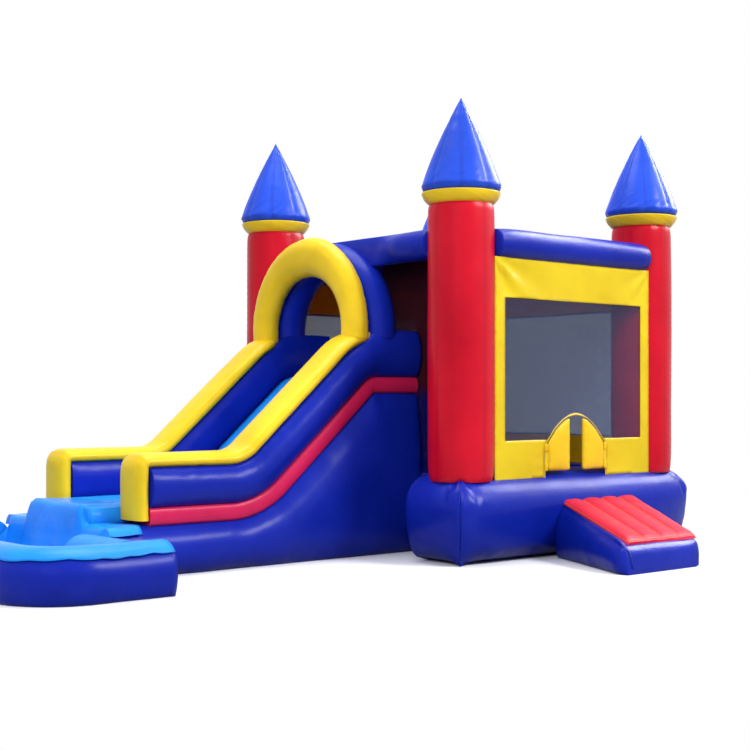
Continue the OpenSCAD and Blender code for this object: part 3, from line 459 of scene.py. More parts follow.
def close_shell(name, P, d, s, mat, node, caps, cap_n):
    """A sewn grid of rings, closed at both ends by flat or domed caps."""
    rims = [r for r, depth in zip((cap_n, cap_n + len(P) - 1), caps) if depth == 0]
    P = np.concatenate([dome(P[0], P[1], caps[0], cap_n)[::-1], P, dome(P[-1], P[-2], caps[1], cap_n)])
    nv, nu = P.shape[:2]
    d = np.pad(d, ((cap_n, cap_n), (0, 0)), constant_values=NO_SEAM)
    s = np.pad(s, ((cap_n, cap_n), (0, 0)))
    verts = np.concatenate([P.reshape(-1, 3), [P[0].mean(0), P[-1].mean(0)]], 0)
    last = (nv - 1) * nu
    faces = grid_faces(nv, nu, True)
    faces += [((i + 1) % nu, i, nv * nu) for i in range(nu)]
    faces += [(last + i, last + (i + 1) % nu, nv * nu + 1) for i in range(nu)]
    d, s = np.append(d, [NO_SEAM, NO_SEAM]), np.append(s, [0, 0])
    ob = build(name, verts, faces, mat, node, d, s)
    ends = np.empty(2 * len(ob.data.edges), int)
    ob.data.edges.foreach_get("vertices", ends)
    ends = ends.reshape(-1, 2) // nu
    sharp = np.isin(ends[:, 0], rims) & (ends[:, 0] == ends[:, 1])
    ob.data.attributes.new("sharp_edge", "BOOLEAN", "EDGE").data.foreach_set("value", sharp)
    return ob


AIR_JOBS = []


def inflated(node, rings, mat, seams, seed, lumps=0.003, caps=FLAT, air=0.0, cap_n=7,
             name=None, parts=None):
    """An air chamber through rings, with puckered seams, blown up later by as much as air, if that is given.
    parts cuts it into several closed ones, each as node, first ring, end and caps."""
    P, d, s = sew(rings, True, seams, seed, lumps)
    shells = []
    for part, a, b, ends in parts or [(node, 0, len(P), caps)]:
        ob = close_shell(name or part + "_skin", P[a:b], d[a:b], s[a:b], mat, part, ends, cap_n)
        shells.append((ob, cap_n, a, b))
    if air:
        AIR_JOBS.append((P, d, air, shells))


CLOTH = {
    "quality": 4, "mass": 0.1, "tension_stiffness": 8, "compression_stiffness": 8, "shear_stiffness": 4,
    "bending_stiffness": 0.3, "vertex_group_mass": "held", "use_pressure": True,
    "uniform_pressure_force": 6.0,
}
AIR_FRAMES = 18
# Held as far as this from a seam and from the ground
SEAM_HELD, GROUND_HELD = 0.012, 0.006


def blow_up():
    """Cloth with air pressure on every skin at once, its seams, ends and ground contact held.
    The result is written into the meshes."""
    trial = []
    for P, d, limit, shells in AIR_JOBS:
        mesh = bpy.data.meshes.new("trial")
        mesh.from_pydata(P.reshape(-1, 3).tolist(), [], grid_faces(*P.shape[:2], True))
        face_out(mesh)
        ob = bpy.data.objects.new("trial", mesh)
        scene.collection.objects.link(ob)
        held = (d < SEAM_HELD) | (P[..., 2] < GROUND_HELD)
        held[[0, -1]] = True
        ob.vertex_groups.new(name="held").add(np.flatnonzero(held.ravel()).tolist(), 1.0, "REPLACE")
        cloth = ob.modifiers.new("air", "CLOTH")
        for k, v in CLOTH.items():
            setattr(cloth.settings, k, v)
        cloth.settings.effector_weights.gravity = 0
        cloth.collision_settings.use_collision = False
        cloth.point_cache.frame_start = 1
        cloth.point_cache.frame_end = AIR_FRAMES
        trial.append(ob)
    for at in range(1, AIR_FRAMES + 1):
        scene.frame_set(at)
    graph = bpy.context.evaluated_depsgraph_get()
    for (P, d, limit, shells), ob in zip(AIR_JOBS, trial):
        now = np.empty(P.size)
        ob.evaluated_get(graph).data.vertices.foreach_get("co", now)
        shift = now.reshape(P.shape) - P
        far = np.linalg.norm(shift, axis=2, keepdims=True)
        full = P + np.nan_to_num(shift * np.tanh(far / limit) * limit / np.maximum(far, 1e-9))
        nu = P.shape[1]
        for shell, cap_n, first, last in shells:
            co = np.empty(3 * len(shell.data.vertices))
            shell.data.vertices.foreach_get("co", co)
            co.reshape(-1, 3)[cap_n * nu:(cap_n + last - first) * nu] = full[first:last].reshape(-1, 3)
            shell.data.vertices.foreach_set("co", co)
            shell.data.update()
    scene.frame_set(1)
    for ob in trial:
        mesh = ob.data
        bpy.data.objects.remove(ob)
        bpy.data.meshes.remove(mesh)


# Base: four-sided rings stacked upward, each panel drawn in at its corner seams
CORNER_REACH, LIFT_REACH, CORNER_PULL = 0.17, 0.11, 0.02


def base_reach(z):
    """How far the base stands out at a height: a large arc, and a small one over its shoulder."""
    if z < BASE_LIFT:
        d = BASE_OUT - BASE_FOOT
        big = (d * d + BASE_LIFT * BASE_LIFT) / (2 * d)
        return BASE_OUT - big + math.sqrt(big ** 2 - (BASE_LIFT - z) ** 2)
    return BASE_OUT - BASE_ROUND + math.sqrt(max(BASE_ROUND ** 2 - (z - BASE_LIFT) ** 2, 0))


def base_top(o):
    """Height of the base's upper surface at a distance o outside the tower axes."""
    drop = np.clip(o - (BASE_OUT - BASE_ROUND), 0, BASE_ROUND)
    return BASE_LIFT + np.sqrt(BASE_ROUND ** 2 - drop ** 2)


def block_ring(sides, z):
    """Ring of a base block at one height, and the places of its corners.
    Each side is start, end, outward, span and cushion. A cushion side is drawn in at both ends (2), its
    start (-1) or its end (1), is full between them, and rolls under at the ground."""
    draw = 0.085 * math.sqrt(max(math.sin(math.pi * min(0.9 * z / BASE_H, 1)), 0))
    ring, marks = [], []
    for a, b, out, span, cushion in sides:
        marks.append(len(ring))
        n = round(span / 0.035)
        f = np.arange(n) / n
        f = 0.45 * (0.5 - 0.5 * np.cos(np.pi * f)) + 0.55 * f
        length = np.linalg.norm(b - a)
        start, end = f * length, (1 - f) * length
        gap = {2: np.minimum(start, end), 1: end, -1: start, 0: f * 0 + NO_SEAM}[cushion]
        free = 1 - np.exp(-gap / LIFT_REACH)
        off, along = f * 0, f * 0
        if cushion:
            off = -draw * np.exp(-gap / CORNER_REACH) + 0.015 * (1 - np.exp(-gap / 0.3))
            off = off - 0.05 * math.exp(-z / 0.05) * free
        if cushion in (2, -1):
            along = along + draw * np.exp(-start / CORNER_PULL)
        if cushion in (2, 1):
            along = along - draw * np.exp(-end / CORNER_PULL)
        p = a + (b - a) * f[:, None] + out * off[:, None] + (b - a) / length * along[:, None]
        ring += np.column_stack([p, z + 0.042 * math.exp(-z / 0.06) * free]).tolist()
    return np.array(ring), marks


def base_block(name, seed):
    x0, inner = AX - BASE_IN, AY - BASE_IN
    turn = -1 if name == "base_back" else 1
    outs = turn * np.array([(0, -1), (1, 0), (0, 1), (-1, 0)])
    shoulder = BASE_LIFT + BASE_ROUND * np.sin(np.linspace(0.06, math.pi / 2, 14))
    rings = []
    # the first level, -1, is the underside
    for z in np.concatenate([[-1], steps((0, 0.06, 5), (0.085, 0.53, 18)), shoulder]):
        reach = base_reach(max(z, 0)) - (0.16 if z < 0 else 0)
        x1, y1 = AX + reach, AY + reach
        if name == "base_right":
            corners = [(x0, -inner), (x1, -inner), (x1, inner), (x0, inner)]
            spans, cushions = (0.7, 2.32, 0.7, 2.32), (0, 2, 0, 0)
        else:
            corners = [(-x1, -y1), (x1, -y1), (x1, -inner), (-x1, -inner)]
            spans, cushions = (3.4, 0.75, 3.4, 0.75), (2, -1, 0, 1)
        corners = turn * np.array(corners)
        ring, marks = block_ring(zip(corners, np.roll(corners, -1, 0), outs, spans, cushions), max(z, 0))
        if z < 0:
            ring[:, 2] = 0
        rings.append(ring)
    seams = seam("u", marks, 0.012, 0.11, 0.12) + seam("v", [1], 0.011, 0.10, 0.12)
    inflated(name, rings, BLUE, seams, seed, 0.007, air=0.020)


base_block("base_front", 1)
base_block("base_back", 2)
base_block("base_right", 3)


# Bounce floor with its sewn channels
def bounce_floor():
    half, low, count, each = AY - BASE_IN - GAP, 0.70, 8, 14
    f = np.linspace(0, 1, count * each + 1)
    top = np.stack([-half + 2 * half * f, low + 0.06 * np.abs(np.sin(np.pi * count * f)) ** 0.7], 1)
    ring = np.concatenate([top, dense([(half, low), (half, 0), (-half, 0), (-half, low)], 0.15, False)[1:-1]])
    x0, x1 = DECK_X, AX - BASE_IN
    rings = []
    for x in steps((x0, x0 + 0.01, 2), (x0 + 0.03, x1 - 0.03, 56), (x1 - 0.01, x1, 2)):
        drop = 0.025 * (ring[:, 1] > low) * (x in (x0, x1))
        rings.append(np.column_stack([np.full(len(ring), x), ring[:, 0], ring[:, 1] - drop]))
    seams = seam("u", range(0, count * each + 1, each), 0.006, 0.07, 0.05)
    inflated("bounce_floor", rings, FLOOR_BLUE, seams, 4, 0.002)


bounce_floor()


# Corner towers
def round_rings(cx, cy, line, n=96, gores=0, depth=0.0):
    """Rings about an upright axis through line, its points as radius and height, drawn in between gores."""
    th = circle(n)
    g = 1 - depth * (1 - np.sqrt(np.abs(np.sin(gores * th / 2))))
    return [np.stack([cx + r * g * np.cos(th), cy + r * g * np.sin(th), np.full(n, z)], 1) for r, z in line]


def tower(tag, sx, sy, seed):
    cx, cy = sx * AX, sy * AY
    n = 96
    c, s = np.cos(circle(n)), np.sin(circle(n))
    foot = np.maximum(base_top(np.maximum(sx * COL_R * c, sy * COL_R * s)) - 0.012, 0.770)
    rings = []
    for t in steps((0, 0.05, 9), (0.06, 0.95, 66), (0.96, 1, 6)):
        z = foot + (COL_TOP - foot) * t
        pinch = 1 - 0.055 * np.exp(-(z - foot) / 0.03) - 0.05 * np.exp(-(COL_TOP - z) / 0.025)
        r = COL_R * (pinch + 0.010 * math.sin(t * math.pi))
        rings.append(np.stack([cx + r * c, cy + r * s, z], 1))
    seams = seam("v", [0], 0.011, 0.075, 0.11) + seam("v", [-1], 0.008, 0.07, 0.08)
    seams += seam("u", range(0, n, 24), 0.004, 0.13, 0.06)
    inflated(f"column_{tag}", rings, RED, seams, seed, 0.004, air=0.010)
    z0 = COL_TOP + GAP
    line = [(COL_R - 0.010 + (COLLAR_R - COL_R) * a + swell(a, 0, 0.018), z0 + COLLAR_H * a)
            for a in np.linspace(0, 1, 15)]
    seams = seam("v", [0], 0.007, 0.06, 0.05) + seam("v", [-1], 0.006, 0.06, 0.05)
    seams += seam("u", [10], 0.003, 0.05, 0.03)
    inflated(f"collar_{tag}", round_rings(cx, cy, line), YELLOW, seams, seed + 1)
    z0 = COL_TOP + COLLAR_H + 2 * GAP
    edge = [(0.07, -0.004), (0.040, 0.001), (0.016, 0.022), (0.002, SPIRE_FOOT)]
    line = [(SPIRE_R - a, z0 + b) for a, b in edge]
    for a in np.linspace(0.02, 0.985, 44):
        r = SPIRE_R * (1 - a) * (1 + 0.22 * a) * (1 + 0.012 * math.sin(math.pi * a))
        line.append((r, z0 + SPIRE_FOOT + (SPIRE_H - SPIRE_FOOT) * a))
    seams = seam("v", [3], 0.009, 0.085, 0.10) + seam("u", range(0, n, 12), 0.004, 0.09, 0.05)
    rings = round_rings(cx, cy, line, gores=8, depth=0.045)
    inflated(f"spire_{tag}", rings, SPIRE, seams, seed + 2, caps=(0.0, 0.01))


TOWERS = [("front_left", -1, -1), ("front_right", 1, -1), ("back_left", -1, 1), ("back_right", 1, 1)]
for k, (tag, sx, sy) in enumerate(TOWERS):
    tower(tag, sx, sy, 10 + 5 * k)


# Roof beams
def beam(side, a, b, seed, shape=None):
    """A tube from a to b along X or Y, its rings changed by shape."""
    a, b = np.array(a), np.array(b)
    length = np.linalg.norm(b - a)
    way = (b - a) / length
    up = np.array((0, 0, 1))
    th = circle(48)[:, None]
    count = max(4, round(length / 0.05))
    rings = []
    for t in steps((0, 0.12, 7), (0.155, length - 0.155, count), (length - 0.12, length, 7)):
        r = BEAM_R * (1 - 0.05 * math.exp(-max(min(t, length - t) - 0.03, 0) / 0.04))
        ring = a + way * t + r * (np.cos(th) * np.cross(way, up) + np.sin(th) * up)
        rings.append(shape(ring) if shape else ring)
    seams = seam("v", (2, -3), 0.008, 0.07, 0.08) + seam("u", [36], 0.004, 0.08, 0.06)
    inflated(f"beam_{side}", rings, BLUE, seams, seed, caps=(0.04, 0.04), air=0.008)


def behind_hood(ring):
    """The left beam lies flat behind the hood and narrows where it meets the far column."""
    y = ring[:, 1].mean()
    flat = ease((y + 0.90) / 0.48)
    thin = 1 - 0.36 * ease((y - 0.95) / 0.28)
    off = ring - (LEFT_BEAM_X, 0, BEAM_Z)
    off[:, 0] = np.where(off[:, 0] < 0, off[:, 0] * (1 - 0.92 * flat), off[:, 0]) * thin
    off[:, 2] *= thin
    return off + (LEFT_BEAM_X, 0, BEAM_Z)


for side, y, seed in (("front", -AY - BEAM_OUT, 31), ("back", AY + BEAM_OUT, 33)):
    beam(side, (-BEAM_END_X, y, BEAM_Z), (BEAM_END_X, y, BEAM_Z), seed)
for side, x, seed, shape in (("right", AX + BEAM_OUT, 35, None), ("left", LEFT_BEAM_X, 37, behind_hood)):
    beam(side, (x, -BEAM_END_Y, BEAM_Z), (x, BEAM_END_Y, BEAM_Z), seed, shape)


def cloth_sheet(name, P, d, s, mat, node, faces=None, tube=False):
    """A sheet of vinyl with a real thickness. P is a grid, or has faces."""
    if faces is None:
        faces = grid_faces(*P.shape[:2], tube)
    ob = build(name, P.reshape(-1, 3), faces, mat, node, d, s, outward=tube)
    skin = ob.modifiers.new("thickness", "SOLIDIFY")
    skin.thickness = SHEET_T
    skin.offset = -1 if tube else 0


def roof():
    half_x, half_y, nx, ny = AX + ROOF_OUT, AY + ROOF_OUT, 100, 108
    x, y = np.meshgrid(np.linspace(-half_x, half_x, nx), np.linspace(-half_y, half_y, ny))
    in_x, in_y = half_x - np.abs(x), half_y - np.abs(y)
    corner, spin = np.hypot(in_x, in_y), np.arctan2(in_y, in_x)
    z = ROOF_TOP - ROOF_RISE * (y / half_y) ** 2
    z = z + 0.016 * np.sin(spin * 16) * np.exp(-corner / 0.5) * np.minimum(corner / 0.25, 1)
    z = z + 0.010 * (1 - np.exp(-np.minimum(in_x, in_y) / 0.35)) * noise_at(x * 1.6, y * 1.6, 0, 41)
    hem = (0.014, 0.11, 0.16)
    seams = seam("u", (0, nx - 1), *hem) + seam("v", (0, ny - 1), *hem)
    seams += seam("u", (33, 66), 0.004, 0.1, 0.06)
    P, d, s = sew(np.stack([x, y, z], -1), False, seams, 42, 0.002)
    cloth_sheet("roof_sheet_skin", P, d, s, ROOF_BLUE, "roof_sheet")


roof()


# Walls: flat panels cut round the windows and the doorway
def door_line(grow, low=0.60):
    """Doorway outline from its right foot over the top to its left foot."""
    pts = dense([(DOOR_HALF, low), *DOOR_ARCH], 0.02, False)
    for _ in range(4):
        pts[1:-1] = pts[1:-1] * 0.5 + (pts[2:] + pts[:-2]) * 0.25
    way = np.gradient(pts, axis=0)
    way[-1] = (-1, 0)
    way /= np.linalg.norm(way, axis=1, keepdims=True)
    pts = pts + grow * np.stack([way[:, 1], -way[:, 0]], 1)
    return pts.tolist() + [(-x, z) for x, z in pts[::-1][1:]]


def inside(p, loops):
    """Which of the points p are inside the first loop and outside the holes after it."""
    hit = np.zeros(len(p), bool)
    for loop in loops:
        q = np.array(loop, float)
        for a, b in zip(q, np.roll(q, -1, 0)):
            cross = (a[1] > p[:, 1]) != (b[1] > p[:, 1])
            with np.errstate(divide="ignore", invalid="ignore"):
                at = a[0] + (p[:, 1] - a[1]) * (b[0] - a[0]) / (b[1] - a[1])
            hit ^= cross & (p[:, 0] < at)
    return hit


def gaps(p, q):
    return np.hypot(p[:, None, 0] - q[None, :, 0], p[:, None, 1] - q[None, :, 1])


def fill_outline(loops, step):
    """Triangles inside the first loop and outside the holes after it.
    Returns points, triangles, the distance to the nearest edge and the place along it."""
    pts, edges = [], []
    for loop in loops:
        k = len(pts)
        pts += dense(loop, step).tolist()
        n = len(pts) - k
        edges += [(k + i, k + (i + 1) % n) for i in range(n)]
    rim = np.array(pts)
    lo, hi = rim.min(0), rim.max(0)
    row, column = np.arange(lo[0] + step / 2, hi[0], step), np.arange(lo[1] + step / 2, hi[1], step * 0.866)
    gx, gy = np.meshgrid(row, column)
    gx[1::2] += step / 2
    g = np.stack([gx.ravel(), gy.ravel()], 1)
    g = g[inside(g, loops)]
    pts += g[gaps(g, rim).min(1) > step * 0.55].tolist()
    out = delaunay_2d_cdt([Vector(p) for p in pts], edges, [], 0, 1e-6)
    v = np.array([tuple(p) for p in out[0]])
    f = np.array(out[2], int)
    f = f[inside(v[f].mean(1), loops)]
    used, f = np.unique(f, return_inverse=True)
    v, f = v[used], f.reshape(-1, 3)
    gap = gaps(v, rim)
    along = np.append(0, np.cumsum(np.linalg.norm(np.diff(rim, axis=0), axis=1)))
    return v, f, gap.min(1), along[gap.argmin(1)]


def drag(p, origin, angle, wave, amp, reach):
    """Pulled folds that fan out of a corner."""
    rel = p - np.array(origin)
    r = np.hypot(rel[:, 0], rel[:, 1])
    a = np.arctan2(rel[:, 1], rel[:, 0]) - angle
    return amp * np.cos(a * wave) * np.exp(-r / reach) * np.minimum(r / 0.12, 1) * np.exp(-(a / 0.7) ** 2)


def box_loop(x0, x1, z0, z1):
    return [(x0, z0), (x1, z0), (x1, z1), (x0, z1)]


def at_x(x):
    """Places flat points in the plane of x, moved by an offset."""
    return lambda a, b, o: (x + o, a, b)


def at_y(y, out=1):
    return lambda a, b, o: (a, y + out * o, b)


# Angle, wave, height and reach of the folds at the left and the right corner
EVEN_PULL = ((-0.75, 9.0, 0.025, 0.35), (-2.4, 9.0, 0.025, 0.35))
FRONT_PULL = ((-0.72, 8.0, 0.045, 0.45), (-2.4, 9.0, 0.020, 0.30))


def wall(side, place, half, window, seed, pull=EVEN_PULL, outline=None):
    """A panel with a window, and folds pulled from its upper corners.
    outline, where given, is the panel's outline in place of its box and window."""
    loops = [box_loop(-half, half, WALL_LOW, WALL_HIGH), box_loop(-window, window, WIN_LOW, WIN_HIGH)]
    v, f, d, s = fill_outline([outline] if outline else loops, 0.032)
    off = pucker(noise_at(s / 0.10, d / 0.4, 0, seed), d, 0.008, 0.10, 0.02)
    off += 0.012 * noise_at(v[:, 0] * 1.7, v[:, 1] * 1.1, 0, seed + 1) * (1 - np.exp(-d / 0.08))
    for x, form in zip((-half, half), pull):
        off += drag(v, (x, WALL_HIGH), *form)
    off *= 1 - np.exp(-d / 0.025)
    P = np.stack(place(v[:, 0], v[:, 1], off), -1)
    cloth_sheet(f"wall_{side}_skin", P, d, s, WALL_YELLOW, f"wall_{side}",
                f.tolist())


def front_outline():
    """Half of the front panel's outline beside the doorway and round the window, and its mirror image."""
    edge = 0.026
    hole = [(x, z) for x, z in door_line(edge) if x > 0]
    sill = float(np.interp(WIN_LOW, [z for _, z in hole], [x for x, _ in hole]))
    right = [(WIN_HALF, WIN_HIGH), (WIN_HALF, WIN_LOW), (sill, WIN_LOW)]
    right += [(x, z) for x, z in hole if WALL_LOW + 0.01 < z < WIN_LOW - 0.006][::-1]
    right += [(DOOR_HALF + edge, WALL_LOW), (WALL_FRONT, WALL_LOW), (WALL_FRONT, WALL_HIGH)]
    left = [(-x, z) for x, z in right[::-1]]
    return left[1:] + right + left[:1]


wall("front", at_y(-WALL_Y, -1), WALL_FRONT, WIN_HALF, 51, FRONT_PULL, front_outline())
wall("back", at_y(WALL_Y), WALL_FRONT, WIN_HALF, 53)
wall("right", at_x(WALL_X), WALL_SIDE, WIN_SIDE, 55)


# Nets: crossing strands, bound to the panels at their ends. Shorter ones are left out
SHORTEST = 0.005


def net(side, place, box, pitch, width, mat, seed, cut=None, sag=0.010, step=0.11):
    """Flat yarns up (way 0) and across (way 1) a box, one set just behind the other, and cut."""
    P, faces, area, size = [], [], 0.0, []
    u0, u1, w0, w1 = box
    first = 0
    for way, (low, high, start, end) in enumerate(((u0, u1, w0, w1), (w0, w1, u0, u1))):
        spans = []
        for at in np.arange(low + pitch / 2, high, pitch):
            spans += cut(way, at, start, end) if cut else [(at, start, end)]
        size.append(max(s[2] for s in spans) - min(s[1] for s in spans))
        for at, a, b in spans:
            if b - a < SHORTEST:
                continue
            k = max(2, round((b - a) / step) + 1)
            run, fixed = np.linspace(a, b, k), np.full(k, at)
            u, w = (run, fixed) if way else (fixed, run)
            ends = np.minimum(np.minimum(run - a, b - run) / 0.2, 1)
            give = sag * noise_at(u * 1.5, w * 1.5, 0, seed) * ends + (GAP if way else -GAP)
            for half in (-width / 2, width / 2):
                P.append(np.stack(place(u, w + half, give) if way else place(u + half, w, give), -1))
            faces += [(first + j, first + j + 1, first + k + j + 1, first + k + j) for j in range(k - 1)]
            first += 2 * k
            area += (b - a) * width
    ob = build(f"net_{side}_strands", np.concatenate(P), faces, mat, f"net_{side}", outward=False)


def door_cut(way, at, a, b):
    """Strands of the front net stop at the doorway's hem."""
    xs, zs = zip(*door_line(0.022))
    half = len(xs) // 2 + 1
    xs, zs = xs[:half], zs[:half]
    if at >= zs[-1] if way else abs(at) >= xs[0]:
        return [(at, a, b)]
    if way == 0:
        return [(at, max(a, float(np.interp(abs(at), xs[::-1], zs[::-1]))), b)]
    wide = float(np.interp(at, zs, xs))
    return [(at, a, -wide), (at, wide, b)]


def guard_cut(way, at, a, b):
    """The left net reaches behind the hood above the guard, to the guard and the tower below it, and stops
    over the base."""
    high, side = GUARD_HIGH + 0.03, -0.205
    base, base_side = BASE_H + 0.025, -AY + BASE_IN + 0.02
    if way == 0:
        low = base if at < base_side else a
        return [(at, low if at < side else high, b)]
    return [(at, base_side if at < base else a, b if at > high else side)]


NET_IN, NET_LAP = 0.008, 0.02
front_box, side_box = [(-half - NET_LAP, half + NET_LAP, WIN_LOW - NET_LAP, WIN_HIGH + NET_LAP)
                       for half in (WIN_HALF, WIN_SIDE)]
net("front", at_y(-WALL_Y + NET_IN), front_box, 0.0046, 0.0009, NET, 61, door_cut)
net("back", at_y(WALL_Y - NET_IN), front_box, 0.0034, 0.0024, NET_FINE, 62)
net("right", at_x(WALL_X - NET_IN), side_box, 0.0034, 0.0024, NET_FINE, 63)
net("left", at_x(DECK_X + 0.0023), (-1.40, 0.0, 0.80, 3.06), 0.0050, 0.0040, NET_PAINTED_SHADE, 64,
    guard_cut, sag=0.002)


# Door flaps: padded panels hung on a bead
def flap(side, sign):
    edge, low, bead_top, bead_r = -DOOR_HALF + 0.025, 0.842, 1.11, 0.015
    arch = [(-x, z) for x, z in door_line(-0.006) if 0.125 < x < -edge and z > 1.0]
    loop = [(edge, low + 0.03), (-0.400, low + 0.006), (-0.375, low), (-0.125, low), (-0.103, low + 0.008),
            (-0.097, low + 0.03), (-0.097, 1.340), (-0.106, 1.356), *arch[::-1], (edge, 1.06)]
    v, f, d, s = fill_outline([loop], 0.016)
    crown = 0.006 + 0.024 * np.sqrt(1 - (1 - np.minimum(d / 0.12, 1)) ** 2)
    crown += pucker(noise_at(s / 0.055, d / 0.2, 0, 71), d, 0.005, 0.05, 0.01)
    verts = [np.stack([v[:, 0], c - WALL_Y, v[:, 1]], 1) for c in (-crown, crown)]
    faces = slab_faces(f, len(v))
    # the bead, and the lug that joins it to the panel
    n, rows, first = 16, np.linspace(low, bead_top, 15), 2 * len(v)
    c, up = np.cos(circle(n)), np.sin(circle(n))
    for z in rows:
        lug = 0.92 <= z <= 1.03
        x = np.where(lug & (c > 0.5), edge + 0.012, -DOOR_HALF + bead_r * c)
        verts.append(np.stack([x, -WALL_Y + bead_r * up * (0.8 if lug else 1), np.full(n, z)], 1))
    faces += grid_faces(len(rows), n, True, first)
    end = first + (len(rows) - 1) * n
    faces += [tuple(range(first, first + n))[::-1], tuple(range(end, end + n))]
    verts = np.concatenate(verts) * (sign, 1, 1)
    d = np.append(np.tile(d, 2), np.full(len(verts) - first, NO_SEAM))
    s = np.append(np.tile(s, 2), np.zeros(len(verts) - first))
    build(f"door_flap_{side}_skin", verts, faces, YELLOW, f"door_flap_{side}", d, s, f"flap_{side}")


flap("left", 1)
flap("right", -1)


def door_hem():
    pts = np.array(door_line(0.016, low=0.775))
    c, up = np.cos(circle(12)), np.sin(circle(12))
    rings = []
    for i, p in enumerate(pts):
        way = pts[min(i + 1, len(pts) - 1)] - pts[max(i - 1, 0)]
        way = way / np.linalg.norm(way)
        r = (0.005 + 0.007 * math.exp(-(p[0] / 0.13) ** 4)) * c
        rings.append(np.stack([p[0] + way[1] * r, -WALL_Y + 0.0062 * up, p[1] - way[0] * r], 1))
    inflated("door_hem", rings, IVORY, seam("u", [3], 0.0012, 0.03, 0.01), 72, 0.0006, cap_n=3,
             name="door_hem_roll")
    line = [(0.0160, 0), (0.0205, 0.001), (0.0218, 0.008), (0.0212, 0.035), (0.0218, 0.062), (0.0205, 0.069),
            (0.0160, 0.07)]
    for k, (side, z0) in enumerate([(-1, 0.847), (-1, 1.035), (1, 0.847), (1, 1.035)]):
        P = np.array(round_rings(side * DOOR_HALF, -WALL_Y, [(r, z0 + z) for r, z in line], n=24))
        build(f"hinge_sleeve_{k + 1}", P.reshape(-1, 3), grid_faces(7, 24, True), YELLOW, outward=False)


door_hem()


# Sections, as rings of points across and up
def box_ring(left, right, low, high, f, draw, puffs, n_top, n_low):
    """Section of a chamber with swollen sides: up the left one, over, down the right one and back."""
    z = low + (high - low) * f
    near = np.stack([left - swell(f, draw, puffs[0]), z], 1)
    far = np.stack([right + swell(f, draw, puffs[1]), z], 1)
    over = between((left + draw, high), (right - draw, high), n_top)
    under = between((right - draw, low), (left + draw, low), n_low)
    return np.concatenate([near, over, far[::-1], under])


def pad_ring(width, top, low):
    """Section of a pad: over it along the heights of top, and back along its flat underside."""
    over = np.stack([np.linspace(-width / 2, width / 2, len(top)), top], 1)
    return np.concatenate([over, np.stack([np.linspace(width / 2, -width / 2, 9), np.full(9, low)], 1)])


# Entry ramp
def ramp():
    w, length, x_at, skew = 1.14, 1.27, 0.135, 0.56
    high, low, tread = 0.58, 0.28, 0.06

    def stand(ring, x, t):
        """A section at a part t of the ramp's length."""
        y = -AY - BASE_OUT - GAP - length * t
        return np.column_stack([x + ring[:, 0], np.full(len(ring), y), ring[:, 1]])

    def top(t):
        return high + (low - high) * min(t, 0.92) - tread

    f, n_top = steps((0, 0.12, 4), (0.16, 0.84, 9), (0.88, 1, 4)), 28
    n = len(f)
    rings = []
    for t in steps((0, 0.9, 32), (0.915, 1, 8)):
        e = max(t - 0.90, 0) / 0.10
        h = top(t) * (1 - (0.992 * e) ** 3.2) ** 0.42
        half, puff = w / 2 - 0.06 * e ** 2, 0.04 * (1 - 0.8 * e)
        ring = box_ring(-half, half, 0, h, f, 0.03, (puff, puff), n_top + 2, 12)
        ring[:n, 0] += 0.05 * f
        ring[n:n + n_top, 1] += 0.006 * np.sin(np.pi * np.linspace(0, 1, n_top + 2)[1:-1])
        rings.append(stand(ring, x_at - skew * t, t))
    seams = seam("u", (n - 1, n + n_top), 0.007, 0.09, 0.08)
    seams += seam("u", (0, 2 * n + n_top - 1), 0.007, 0.10, 0.09)
    seams += seam("v", [-8], 0.008, 0.08, 0.08) + seam("v", [0], 0.008, 0.10, 0.08)
    inflated("ramp_body", rings, BLUE, seams, 81, 0.005, (0.0, 0.012), 0.015)
    n = 57
    edge = 0.020 * (np.abs(2 * np.linspace(0, 1, n) - 1) > 0.985)
    rings = []
    for t in steps((0.002, 0.86, 30), (0.872, 0.918, 6)):
        e = max(t - 0.85, 0) / 0.068
        z = top(t) + 0.001
        over = z + 0.036 * (1 - 0.45 * e ** 2) + 0.018 * (1 - 0.6 * e ** 2) * quilt(n) - edge
        rings.append(stand(pad_ring(w - 0.05 - 0.09 * t, over, z), 0.18 - 0.528 * t, t))
    seams = seam("u", range(0, n, 14), 0.005, 0.06, 0.05) + seam("v", [-2], 0.005, 0.06, 0.05)
    inflated("ramp_tread", rings, TREAD, seams, 83, 0.002, air=0.006)


ramp()


# Slide: sections carried along the middle of the red band, by points (x, z, angle)
def low_bend(a):
    return BEND_LOW_X + BEND_LOW * math.sin(a), BAND_LOW + BEND_LOW * (1 - math.cos(a)), a


def high_bend(a):
    return LEVEL_X - BEND_HIGH * math.sin(a), BAND_HIGH - BEND_HIGH * (1 - math.cos(a)), a


def slide_path(x0, x1, step=0.035):
    count = max(2, round((BEND_LOW_X - x0) / step))
    pts = [(x, BAND_LOW, 0.0) for x in np.linspace(x0, BEND_LOW_X, count)[:-1]]
    pts += [low_bend(a) for a in np.linspace(0, ANGLE, 20)]
    count = round(math.dist(low_bend(ANGLE), high_bend(ANGLE)) / step)
    pts += between(low_bend(ANGLE), high_bend(ANGLE), count + 1)
    pts += [high_bend(a) for a in np.linspace(ANGLE, 0, 7)]
    if x1 > LEVEL_X + 0.02:
        count = max(3, round((x1 - LEVEL_X) / step))
        pts += [(x, BAND_HIGH, 0.0) for x in np.linspace(LEVEL_X, x1, count)[1:]]
    return pts


def along(p, v):
    return p[0] - math.sin(p[2]) * v, p[1] + math.cos(p[2]) * v


def carry(p, ring, y=0.0):
    """A section at a point of the path."""
    x, z = along(p, ring[:, 1])
    return np.column_stack([x, y + ring[:, 0], z])


